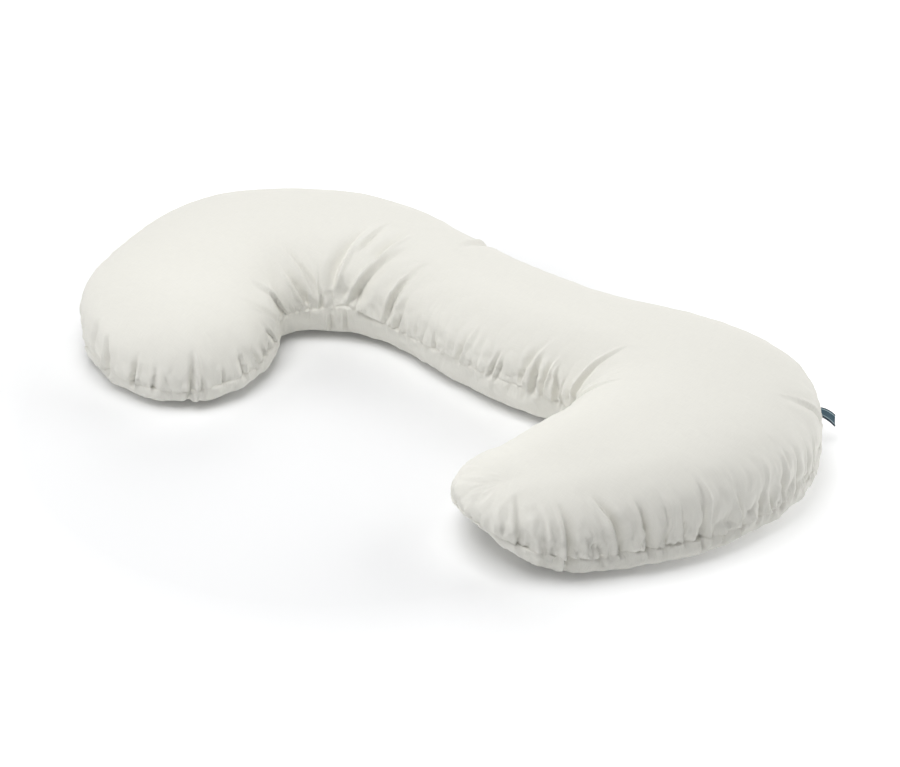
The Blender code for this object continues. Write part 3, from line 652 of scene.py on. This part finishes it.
# The cloth was cut longer than the seam that it is gathered into, so where the filling
# presses it out it buckles between the folds. It is settled by simulation.
CUT_COLUMNS = ("pitch", "excess", "reach", "seed")
CUT_LONGER = (
    (0.025, 0.08, 0.070, 3),
    (0.012, 0.10, 0.026, 4),
)
PITCH_STEP = 0.03
PITCH_MIX = (0.6, 1.5)      # the ripples' pitch varies between these shares
CUT_FADE = 1.3              # above 1 the ripples end sooner past their reach
SETTLE_FRAMES = 12
LARGEST_SHIFT = 0.007
LOOSE_PIN, SEAM_PIN = 0.030, 0.90
SEAM_WITHIN, FLOOR_WITHIN = 0.002, 0.003                # points this near are held
CROWN_PIN, CROWN_FROM, CROWN_OVER = 0.3, 0.16, 0.08     # the taut crown holds its shape
CLOTH_STIFFNESS, CLOTH_SHEAR, CLOTH_BENDING = 15.0, 4.0, 0.01
CLOTH_MASS = 0.1
FILLING_PRESSURE = 0.7
STEPS_A_FRAME = 5


def seam_places(points, grids, places):
    """Each point's place along the seam and its distance up the cloth from it."""
    along, up = np.zeros(len(points)), np.zeros(len(points))
    for grid in grids:
        climbed = np.zeros(len(places))
        for below, ids in zip(grid, grid[1:]):
            climbed += np.linalg.norm(points[ids] - points[below], axis=1)
            along[ids], up[ids] = places, climbed
        along[grid[0]] = places
    return along, up


def cut_longer(points, normals, along, up, length):
    """The cloth as it was cut: rippled, so that it is longer than the seam."""
    cut = points.copy()
    strength = np.interp(along, PUCKER_PLACES, PUCKER_STRENGTHS)
    for pitch, excess, reach, seed in CUT_LONGER:
        draw = np.random.default_rng(seed)
        steps = np.arange(0.0, length + PITCH_STEP, PITCH_STEP)
        turns = np.cumsum(PITCH_STEP / (pitch * draw.uniform(*PITCH_MIX, len(steps))))
        height = pitch / math.pi * np.sqrt(excess * strength) * np.exp(-(up / reach) ** CUT_FADE)
        cut += normals * (height * np.sin(2 * math.pi * np.interp(along, steps, turns)))[:, None]
    return cut


def held(points, up):
    """How firmly each point is held: the seam and the resting cloth most, the sides least."""
    crown = CROWN_PIN * np.clip((up - CROWN_FROM) / CROWN_OVER, 0.0, 1.0)
    hold = np.maximum(LOOSE_PIN, crown)
    hold[up < SEAM_WITHIN] = SEAM_PIN
    hold[points[:, 2] < FLOOR_WITHIN] = 1.0
    return np.round(hold, 2)


def settle(thing, points, along, up, length):
    """Run the cloth against its filling and give the points where it comes to rest."""
    normals = np.empty(3 * len(points))
    thing.data.vertices.foreach_get("normal", normals)
    cut = cut_longer(points, normals.reshape(-1, 3), along, up, length)
    thing.shape_key_add(name="sewn")
    as_cut = thing.shape_key_add(name="as_cut")
    as_cut.data.foreach_set("co", cut.ravel())
    as_cut.value = 0.0
    hold = held(points, up)
    pins = thing.vertex_groups.new(name="pins")
    for weight in np.unique(hold):
        pins.add(np.nonzero(hold == weight)[0].tolist(), float(weight), "REPLACE")
    cloth = thing.modifiers.new("settle", "CLOTH")
    cloth.collision_settings.use_collision = False
    cloth.point_cache.frame_start, cloth.point_cache.frame_end = 1, SETTLE_FRAMES
    rules = cloth.settings
    rules.vertex_group_mass = "pins"
    rules.rest_shape_key = as_cut
    rules.quality = STEPS_A_FRAME
    rules.mass = CLOTH_MASS
    rules.effector_weights.gravity = 0.0
    rules.tension_stiffness = rules.compression_stiffness = CLOTH_STIFFNESS
    rules.shear_stiffness = CLOTH_SHEAR
    rules.bending_stiffness = CLOTH_BENDING
    rules.use_pressure = True
    rules.uniform_pressure_force = FILLING_PRESSURE
    scene = bpy.context.scene
    scene.frame_start, scene.frame_end = 1, SETTLE_FRAMES
    for frame_number in range(1, SETTLE_FRAMES + 1):
        scene.frame_set(frame_number)
    rested = thing.evaluated_get(bpy.context.evaluated_depsgraph_get()).data
    found = np.empty(3 * len(points))
    rested.vertices.foreach_get("co", found)
    thing.modifiers.remove(cloth)
    thing.shape_key_clear()
    thing.vertex_groups.clear()
    scene.frame_set(1)
    shift = found.reshape(-1, 3) - points
    far = np.linalg.norm(shift, axis=1)[:, None]
    shift *= np.minimum(1.0, LARGEST_SHIFT / np.maximum(far, LARGEST_SHIFT / 10))
    settled = points + shift
    settled[:, 2] = np.maximum(settled[:, 2], 0.0)
    return settled


def placed(name, data):
    """A new object of the data, in the scene at the origin."""
    thing = bpy.data.objects.new(name, data)
    bpy.context.scene.collection.objects.link(thing)
    return thing


points, faces, corners, grids, places, seam_length = pillow_cloth()
kept = faces != np.roll(faces, 1, axis=1)
mesh = bpy.data.meshes.new("pillow_cloth")
mesh.from_pydata(points.tolist(), [], [face[keep].tolist() for face, keep in zip(faces, kept)])
mesh.uv_layers.new(name="pattern").uv.foreach_set("vector", corners[kept].ravel())
mesh.shade_smooth()
pillow = placed("pillow_cloth", mesh)
along, up = seam_places(points, grids, places)
points = settle(pillow, points, along, up, seam_length)
mesh.vertices.foreach_set("co", points.ravel())
mesh.update()
seam_place = mesh.attributes.new("seam_place", "FLOAT_VECTOR", "POINT")
seam_place.data.foreach_set("vector", np.stack([along, up, np.zeros(len(up))], axis=1).ravel())

# Plain-weave cotton, washed soft. The weave follows the cloth as it was cut, and the
# finest puckers run up from the seam. Sizes in metres.
COTTON_COLOUR = (0.800, 0.790, 0.735)
COTTON_DEEP, COTTON_PALE = 0.965, 1.015     # the yarns' own tones, against that colour
COTTON_ROUGHNESS = (0.94, 0.84)             # between the threads and on top of them
SLUB_RANGE = (0.7, 1.3)     # of the two yarns' noises together
THREAD_PITCH = 0.00052
YARN_TONE_LENGTH, YARN_TONE_WIDTH = 40.0, 900.0     # a yarn's tone varies along and across it
WEAVE_HEIGHT = 0.00003
SLUB_HEIGHT = 0.00003
PUCKER_PITCH, PUCKER_LENGTH = 0.0060, 0.030
PUCKER_HEIGHT = 0.0011
PUCKERS_END = 0.055         # distance up the cloth where the last of them fades out
CREASE_SIZE, CREASE_HEIGHT = 0.045, 0.0009


def wire(tree, node, sockets):
    """Give a node's inputs, by name or number, their values or links."""
    for key, value in sockets.items():
        if isinstance(value, bpy.types.NodeSocket):
            tree.links.new(value, node.inputs[key])
        else:
            node.inputs[key].default_value = value


def add_node(tree, kind, sockets=None, **settings):
    """Add a node with its settings and its inputs, and give its outputs."""
    node = tree.nodes.new(kind)
    for name, value in settings.items():
        setattr(node, name, value)
    wire(tree, node, sockets or {})
    return node.outputs


def maths(tree, operation, *values):
    """A Math node of links and numbers."""
    return add_node(tree, "ShaderNodeMath", dict(enumerate(values)), operation=operation)[0]


def ranged(tree, value, source, target, **settings):
    """A value mapped from one range to another."""
    sockets = dict(enumerate((value, *source, *target)))
    return add_node(tree, "ShaderNodeMapRange", sockets, **settings)[0]


def noise_at(tree, place, scale, detail, stretch=(1, 1, 1)):
    """Soft noise on a place, squeezed by stretch."""
    squeezed = add_node(tree, "ShaderNodeMapping", {"Vector": place, "Scale": stretch})[0]
    cloud = {"Vector": squeezed, "Scale": scale, "Detail": detail}
    return add_node(tree, "ShaderNodeTexNoise", cloud)["Fac"]


def creases_at(tree, cloud):
    """Sharp lines where a noise crosses its middle."""
    return maths(tree, "ABSOLUTE", maths(tree, "MULTIPLY_ADD", cloud, 2.0, -1.0))


def toned(tree, colour, tone):
    """A colour made lighter or darker."""
    return add_node(tree, "ShaderNodeVectorMath", {0: colour, "Scale": tone}, operation="SCALE")[0]


def bumped(tree, shader, *layers):
    """Heights in metres laid one over the other as bump, onto the shader's normal."""
    below = {}
    for height, metres in layers:
        bump = {"Strength": 1.0, "Distance": metres, "Height": height, **below}
        below = {"Normal": add_node(tree, "ShaderNodeBump", bump)["Normal"]}
    wire(tree, shader, below)


def new_material(name):
    """A material with its node tree and its shader."""
    material = bpy.data.materials.new(name)
    material.use_nodes = True
    return material, material.node_tree, material.node_tree.nodes["Principled BSDF"]


def cotton_material():
    """Plain weave with slubs, and bump for the creases that are too fine for the mesh."""
    material, tree, shader = new_material("cotton")
    cut = add_node(tree, "ShaderNodeUVMap", uv_map="pattern")[0]
    flat = add_node(tree, "ShaderNodeSeparateXYZ", {0: cut})
    turn = math.pi / THREAD_PITCH
    warp, weft = (maths(tree, "SINE", maths(tree, "MULTIPLY", flat[way], turn)) for way in "XY")
    weave = maths(tree, "MULTIPLY_ADD", maths(tree, "MULTIPLY", warp, weft), 0.5, 0.5)
    slubs = maths(tree, "ADD", *(noise_at(tree, cut, 1.0, 3.0, (x, y, 1)) for x, y in (
        (YARN_TONE_WIDTH, YARN_TONE_LENGTH), (YARN_TONE_LENGTH, YARN_TONE_WIDTH))))
    seam = add_node(tree, "ShaderNodeAttribute", attribute_name="seam_place")["Vector"]
    up_cloth = add_node(tree, "ShaderNodeSeparateXYZ", {0: seam})["Y"]
    fade = ranged(tree, up_cloth, (PUCKERS_END, 0.0), (0.0, 1.0), interpolation_type="SMOOTHSTEP")
    pucker = noise_at(tree, seam, 1.0, 2.0, (1 / PUCKER_PITCH, 1 / PUCKER_LENGTH, 1))
    puckers = maths(tree, "MULTIPLY", creases_at(tree, pucker), fade)
    body = add_node(tree, "ShaderNodeTexCoord")["Object"]
    creases = creases_at(tree, noise_at(tree, body, 1 / CREASE_SIZE, 3.0))
    tone = ranged(tree, slubs, SLUB_RANGE, (COTTON_DEEP, COTTON_PALE))
    wire(tree, shader, {"Base Color": toned(tree, COTTON_COLOUR, tone),
                        "Roughness": ranged(tree, weave, (0.0, 1.0), COTTON_ROUGHNESS),
                        "Specular IOR Level": 0.25, "Sheen Weight": 0.06, "Sheen Roughness": 0.5})
    bumped(tree, shader, (creases, CREASE_HEIGHT), (puckers, PUCKER_HEIGHT),
           (slubs, SLUB_HEIGHT), (weave, WEAVE_HEIGHT))
    return material


mesh.materials.append(cotton_material())
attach(pillow, "root")
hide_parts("pillow")

# ------------------------------------------------------------------ the seam thread
# The panels are sewn from inside. Where the filling strains the seam its stitches show
# as short bars of cotton thread down in the groove, about eight to the inch.
STITCH_STANDS_OUT = 0.0002  # how far the thread stands out of the groove
THREAD_COLOUR = (0.74, 0.72, 0.66)
THREAD_TONES, THREAD_ROUGHNESS = (0.90, 1.08), (0.62, 0.80)
PLY_SCALE, PLY_HEIGHT = 1800.0, 0.00008     # the thread's own twist
STITCH_INPUTS = (           # the nodes' named inputs
    ("Pitch", "NodeSocketFloat", 0.0031),
    ("Length", "NodeSocketFloat", 0.0023),
    ("Thickness", "NodeSocketFloat", 0.00022),      # half of the thread's
    ("Seed", "NodeSocketInt", 11),
)
STITCH_WOBBLE = (0.15, 0.12, 0.22)          # the most that a stitch turns, in radians
STITCH_STEPS, STITCH_SIDES = 4, 6


def stitches_tree(material):
    """Stitches laid end to end along a path of edges, and the values of the tree's inputs."""
    tree = bpy.data.node_groups.new("seam_stitches", "GeometryNodeTree")
    geometry = "NodeSocketGeometry"
    tree.interface.new_socket(name="Seam", in_out="INPUT", socket_type=geometry)
    values = {}
    for name, kind, value in STITCH_INPUTS:
        socket = tree.interface.new_socket(name=name, in_out="INPUT", socket_type=kind)
        socket.default_value = values[socket.identifier] = value
    tree.interface.new_socket(name="Stitches", in_out="OUTPUT", socket_type=geometry)

    def add(kind, sockets=None, **settings):
        return add_node(tree, kind, sockets, **settings)[0]

    given = add_node(tree, "NodeGroupInput")
    path = add("GeometryNodeMeshToCurve", {"Mesh": given["Seam"]})
    even = add("GeometryNodeResampleCurve", {"Curve": path, "Length": given["Pitch"]},
               mode="LENGTH")
    halves = (maths(tree, "MULTIPLY", given["Length"], share) for share in (-0.5, 0.5))
    start, end = (add("ShaderNodeCombineXYZ", {"X": half}) for half in halves)
    rise = add("ShaderNodeCombineXYZ", {"Z": given["Thickness"]})
    bar = add("GeometryNodeCurveQuadraticBezier",
              {"Resolution": STITCH_STEPS, "Start": start, "Middle": rise, "End": end})
    ring = add("GeometryNodeCurvePrimitiveCircle",
               {"Resolution": STITCH_SIDES, "Radius": given["Thickness"]})
    stitch = add("GeometryNodeCurveToMesh",
                 {"Curve": bar, "Profile Curve": ring, "Fill Caps": True})
    aim = add("FunctionNodeAlignRotationToVector", {"Vector": add("GeometryNodeInputTangent")},
              axis="X")
    least = tuple(-turn for turn in STITCH_WOBBLE)
    wobble = add("FunctionNodeRandomValue", {0: least, 1: STITCH_WOBBLE, "Seed": given["Seed"]},
                 data_type="FLOAT_VECTOR")
    turned = add("FunctionNodeRotateRotation", {0: aim, 1: wobble}, rotation_space="LOCAL")
    spread = add("GeometryNodeInstanceOnPoints",
                 {"Points": even, "Instance": stitch, "Rotation": turned})
    real = add("GeometryNodeRealizeInstances", {0: spread})
    finish = add("GeometryNodeSetMaterial", {"Geometry": real, "Material": material})
    add_node(tree, "NodeGroupOutput", {0: finish})
    return tree, values


thread, tree, shader = new_material("seam_thread")
ply = noise_at(tree, add_node(tree, "ShaderNodeTexCoord")["Object"], PLY_SCALE, 2.0)
tone = ranged(tree, ply, (0.0, 1.0), THREAD_TONES)
wire(tree, shader, {"Base Color": toned(tree, THREAD_COLOUR, tone),
                    "Roughness": ranged(tree, ply, (0.0, 1.0), THREAD_ROUGHNESS)})
bumped(tree, shader, (ply, PLY_HEIGHT))

groove = points[grids[0][0]]
stands_out = (points[grids[0][1]] + points[grids[1][1]]) / 2 - groove
stands_out /= np.linalg.norm(stands_out, axis=1)[:, None]
seam_line = groove + stands_out * STITCH_STANDS_OUT
seam_mesh = bpy.data.meshes.new("seam_line")
count = len(seam_line)
seam_mesh.from_pydata(seam_line.tolist(), [(i, (i + 1) % count) for i in range(count)], [])
seam_path = placed("seam_line", seam_mesh)
maker = seam_path.modifiers.new("stitches", "NODES")
maker.node_group, stitch_values = stitches_tree(thread)
for identifier, value in stitch_values.items():
    maker[identifier] = value
evaluated = seam_path.evaluated_get(bpy.context.evaluated_depsgraph_get())
sewn = bpy.data.meshes.new_from_object(evaluated)
bpy.data.objects.remove(seam_path)
sewn.name = "seam_stitches"
sewn.shade_smooth()
stitches = placed("seam_stitches", sewn)
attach(stitches, "root")

# ------------------------------------------------------------------ the ribbon tab
# A length of ribbed ribbon with paler borders, folded in half, its cut ends caught in
# the seam at the outer corner of the right bend. It droops under its own weight.
RIBBON_SEAM_AT = 1.784
RIBBON_WIDTH = 0.022
RIBBON_REACH = 0.037
RIBBON_THICKNESS = 0.00050
RIBBON_LAYER_GAP = 0.0006
RIBBON_OPENING = (0.75, 0.9)    # shares of it at the seam, and added halfway out
RIBBON_FOLD_BULGE = 1.6     # the fold is rounder than the gap between the layers
RIBBON_STARTS = 0.0005      # how far outside the seam line it comes into view
RIBBON_DROOP = 0.018
RIBBON_TWIST = math.radians(-40)
RIBBON_ASIDE = math.radians(15)
RIBBON_STEPS, RIBBON_FOLD_STEPS, RIBBON_ACROSS = 48, 12, 24
RIBBON_CUP, RIBBON_CUP_MEAN = 0.0007, 0.4       # its borders curl up by this much
SELVEDGE_HEIGHT, SELVEDGE_WIDTH = 0.35, 0.05    # the woven edge, in thicknesses and widths
SELVEDGE_ROUNDING = 0.45    # its last points are drawn in to this share
RIBBON_FACE, RIBBON_EDGE = (0.022, 0.078, 0.114, 1), (0.008, 0.030, 0.062, 1)
RIBBON_BORDER = (0.36, 0.47, 0.50, 1)
RIB_PITCH, RIB_HEIGHT = 0.0009, 0.00016
BORDER_AT, BORDER_WIDTH = 0.0074, 0.0016        # from the ribbon's middle
RIBBON_YARNS, YARN_HEIGHT = (3000, 400, 1), 0.00005
YARN_RANGE, YARN_TONES = (0.3, 0.7), (0.80, 1.15)
RIB_PAINTED_SHADE = (0.25, 0.85)    # painted shade: a rib's contrast, and the darker tone in the grooves between the ribs
YARN_ROUGHNESS = (0.25, 0.45)                   # the same for the yarns' roughness


def ribbon():
    """The folded ribbon's closed mesh, each point's place on the flat ribbon, and its length."""
    turns, metres = measure_seam()
    beside = RIBBON_SEAM_AT + RIBBON_WIDTH / 2 * np.array([-1.0, 0.0, 1.0])
    cols = seam_columns(np.interp(beside, metres, turns))
    root = np.append(cols["edge"][1], cols["seam"][1])
    along = np.append(cols["edge"][2] - cols["edge"][0], 0.0)
    along /= np.linalg.norm(along)
    out = np.array([along[1], -along[0], 0.0])
    if out[:2] @ (cols["edge"][1] - cols["foot"][1]) < 0:
        out = -out
    out, along = (out * math.cos(RIBBON_ASIDE) + along * math.sin(RIBBON_ASIDE),
                  along * math.cos(RIBBON_ASIDE) - out * math.sin(RIBBON_ASIDE))
    up = np.array([0.0, 0.0, 1.0])
    lift = (RIBBON_THICKNESS + RIBBON_LAYER_GAP) / 2
    leg = np.linspace(0.0, 1.0, RIBBON_STEPS, endpoint=False)
    path = [(share, 1.0) for share in leg]
    path += [(1.0 + RIBBON_FOLD_BULGE * lift / RIBBON_REACH * math.cos(angle), math.sin(angle))
             for angle in np.linspace(math.pi / 2, -math.pi / 2, RIBBON_FOLD_STEPS)]
    path += [(share, -1.0) for share in leg[::-1]]
    middles, acrosses = [], []
    for share, layer in path:
        gone = min(share, 1.0)
        across = along * math.cos(RIBBON_TWIST * gone) + up * math.sin(RIBBON_TWIST * gone)
        droop = math.atan(2 * RIBBON_DROOP / RIBBON_REACH * gone)
        heading = out * math.cos(droop) - up * math.sin(droop)
        face = np.cross(across, heading)
        face /= np.linalg.norm(face)
        opened = lift * (RIBBON_OPENING[0] + RIBBON_OPENING[1] * math.sin(math.pi * gone))
        middle = root + out * (RIBBON_STARTS + RIBBON_REACH * share)
        middle -= up * RIBBON_DROOP * share ** 2
        middles.append(middle + face * opened * layer)
        acrosses.append(across)
    middles, acrosses = np.array(middles), np.array(acrosses)
    faces_out = np.cross(acrosses, np.gradient(middles, axis=0))
    faces_out /= np.linalg.norm(faces_out, axis=1)[:, None]
    steps = np.linalg.norm(np.diff(middles, axis=0), axis=1)
    run = np.concatenate([[0.0], np.cumsum(steps)])
    share = np.linspace(-1.0, 1.0, RIBBON_ACROSS + 1)
    wide = share * RIBBON_WIDTH / 2
    in_selvedge = (1 - SELVEDGE_WIDTH - np.abs(share)) / SELVEDGE_WIDTH
    bead = 1 + SELVEDGE_HEIGHT * np.exp(-in_selvedge ** 2)
    half = RIBBON_THICKNESS / 2 * bead * np.where(np.abs(share) == 1.0, SELVEDGE_ROUNDING, 1.0)
    cup = RIBBON_CUP * (share ** 2 - RIBBON_CUP_MEAN)
    points, places = [], []
    for middle, across, out_of_face, at in zip(middles, acrosses, faces_out, run):
        for side, order in ((1.0, slice(None)), (-1.0, slice(None, None, -1))):
            height = (cup + side * half)[order, None]
            points.append(middle + across * wide[order, None] + out_of_face * height)
            flat = (wide[order], np.full(len(wide), at), np.zeros(len(wide)))
            places.append(np.stack(flat, axis=1))
    ring = 2 * (RIBBON_ACROSS + 1)
    faces = []
    for step in range(len(middles) - 1):
        for side in range(ring):
            low, high = step * ring + side, step * ring + (side + 1) % ring
            faces.append((low, low + ring, high + ring, high))
    last = (len(middles) - 1) * ring
    for i in range(RIBBON_ACROSS):
        other = ring - 2 - i
        faces.append((i, i + 1, other, other + 1))
        faces.append((last + i, last + other + 1, last + other, last + i + 1))
    return np.concatenate(points), faces, np.concatenate(places), run[-1]


def ribbon_material():
    """Ribbed weave in one colour, with painted shade in the grooves between the ribs, a paler line
    near each side and a darker selvedge.
    """
    material, tree, shader = new_material("ribbon")
    place = add_node(tree, "ShaderNodeAttribute", attribute_name="ribbon_place")["Vector"]
    flat = add_node(tree, "ShaderNodeSeparateXYZ", {0: place})
    from_middle = maths(tree, "ABSOLUTE", flat["X"])
    off_border = maths(tree, "ABSOLUTE", maths(tree, "SUBTRACT", from_middle, BORDER_AT))
    border = maths(tree, "LESS_THAN", off_border, BORDER_WIDTH / 2)
    edge = maths(tree, "GREATER_THAN", from_middle, BORDER_AT + BORDER_WIDTH)
    ribs = maths(tree, "SINE", maths(tree, "MULTIPLY", flat["Y"], 2 * math.pi / RIB_PITCH))
    ribs = maths(tree, "MULTIPLY_ADD", ribs, 0.5, 0.5)
    yarns = noise_at(tree, place, 1.0, 3.0, RIBBON_YARNS)
    colour = add_node(tree, "ShaderNodeMix", {0: border, 6: RIBBON_FACE, 7: RIBBON_BORDER},
                      data_type="RGBA")[2]
    colour = add_node(tree, "ShaderNodeMix", {0: edge, 6: colour, 7: RIBBON_EDGE},
                      data_type="RGBA")[2]
    yarn_tone = ranged(tree, yarns, YARN_RANGE, YARN_TONES)
    # the yarns' own tone, times painted shade that darkens the grooves between the ribs
    tone = maths(tree, "MULTIPLY", yarn_tone, maths(tree, "MULTIPLY_ADD", ribs, *RIB_PAINTED_SHADE))
    wire(tree, shader, {"Base Color": toned(tree, colour, tone), "Sheen Weight": 0.05,
                        "Roughness": maths(tree, "MULTIPLY_ADD", yarns, *YARN_ROUGHNESS)})
    bumped(tree, shader, (ribs, RIB_HEIGHT), (yarns, YARN_HEIGHT))
    return material


ribbon_points, ribbon_faces, ribbon_places, ribbon_length = ribbon()
ribbon_mesh = bpy.data.meshes.new("ribbon_tab")
ribbon_mesh.from_pydata(ribbon_points.tolist(), [], ribbon_faces)
ribbon_place = ribbon_mesh.attributes.new("ribbon_place", "FLOAT_VECTOR", "POINT")
ribbon_place.data.foreach_set("vector", ribbon_places.ravel())
ribbon_mesh.shade_smooth()
ribbon_mesh.materials.append(ribbon_material())
tab = placed("ribbon_tab", ribbon_mesh)
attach(tab, "root")
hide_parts("side_tab")

# ------------------------------------------------------------------ floor and studio light
# A seamless sheet of white paper under four large softboxes and a faint even light from all round.
# It glows with painted light, faintly beside the pillow and a little brighter away from it.
PAPER_REACH = 60            # so far that its edges lie close to the horizon
PAPER_COLOUR = (0.885, 0.889, 0.895, 1)
PAPER_PAINTED_GLOW = 0.045          # the paper's painted glow beside the pillow
PAPER_PAINTED_GLOW_FAR = 1.00       # and its painted glow farther out, in place of backdrop lights
GLOW_CENTRE = (-0.12, -0.11, 0.0)
GLOW_STARTS, GLOW_FULL = 0.60, 1.75
WORLD_LIGHT = 0.03
WHITE = (1, 1, 1, 1)
SOFTBOX_SIZE = 1.8
SOFTBOX_AIM_HEIGHT = 0.1
SOFTBOX_COLUMNS = ("name", "x", "y", "z", "aim", "watts")   # aim: share of x, y it points at
SOFTBOXES = (
    ("softbox_overhead", 0.0, -0.7, 2.4, 0.3, 50.0),
    ("softbox_low_back_right", 1.84, 1.84, 1.2, 0.0, 32.0),
    ("softbox_low_front_left", -1.84, -1.84, 1.2, 0.0, 18.0),
    ("softbox_low_back_left", -1.84, 1.84, 1.2, 0.0, 30.0),
)

floor_mesh = bpy.data.meshes.new("floor")
floor_corners = [(x * PAPER_REACH, y * PAPER_REACH, 0)
                 for x, y in ((-1, -1), (1, -1), (1, 1), (-1, 1))]
floor_mesh.from_pydata(floor_corners, [], [(0, 1, 2, 3)])
floor = placed("floor", floor_mesh)
paper, tree, shader = new_material("white_paper")
place = add_node(tree, "ShaderNodeTexCoord")["Object"]
offset = add_node(tree, "ShaderNodeVectorMath", {0: place, 1: GLOW_CENTRE}, operation="SUBTRACT")
distance = add_node(tree, "ShaderNodeVectorMath", {0: offset[0]}, operation="LENGTH")["Value"]
# Painted light: the paper glows more the farther it lies from the pillow, which leaves the shadows
# beside the pillow dark.
painted_glow = ranged(tree, distance, (GLOW_STARTS, GLOW_FULL), (PAPER_PAINTED_GLOW, PAPER_PAINTED_GLOW_FAR))
wire(tree, shader, {"Base Color": PAPER_COLOUR, "Roughness": 1.0, "Specular IOR Level": 0.0,
                    "Emission Color": WHITE, "Emission Strength": painted_glow})
floor_mesh.materials.append(paper)

world = bpy.data.worlds.new("studio")
bpy.context.scene.world = world
world.use_nodes = True
wire(world.node_tree, world.node_tree.nodes["Background"],
     {"Color": WHITE, "Strength": WORLD_LIGHT})

for name, x, y, z, aim, watts in SOFTBOXES:
    light = bpy.data.lights.new(name, "AREA")
    light.shape = "SQUARE"
    light.size = SOFTBOX_SIZE
    light.energy = watts
    softbox = placed(name, light)
    softbox.location = (x, y, z)
    from_aim = Vector(((1 - aim) * x, (1 - aim) * y, z - SOFTBOX_AIM_HEIGHT))
    softbox.rotation_euler = from_aim.to_track_quat("Z", "Y").to_euler()
    softbox.visible_camera = False

# ------------------------------------------------------------------ camera
# A short telephoto on a tripod, looking down across the open side of the C.
CAMERA_TURN = math.radians(36)
CAMERA_RISE = math.radians(33)
CAMERA_AIM = Vector((0.074, -0.041, 0.0736))
CAMERA_DISTANCE = 3.312
CAMERA_LENS, CAMERA_SENSOR = 72, 36         # millimetres
camera_data = bpy.data.cameras.new("camera")
camera_data.sensor_width = CAMERA_SENSOR
camera_data.lens = CAMERA_LENS
camera = placed("camera", camera_data)
back = Vector((math.sin(CAMERA_TURN) * math.cos(CAMERA_RISE),
               -math.cos(CAMERA_TURN) * math.cos(CAMERA_RISE), math.sin(CAMERA_RISE)))
camera.location = CAMERA_AIM + back * CAMERA_DISTANCE
camera.rotation_euler = back.to_track_quat("Z", "Y").to_euler()
bpy.context.scene.camera = camera
bpy.context.scene.view_settings.view_transform = "Standard"
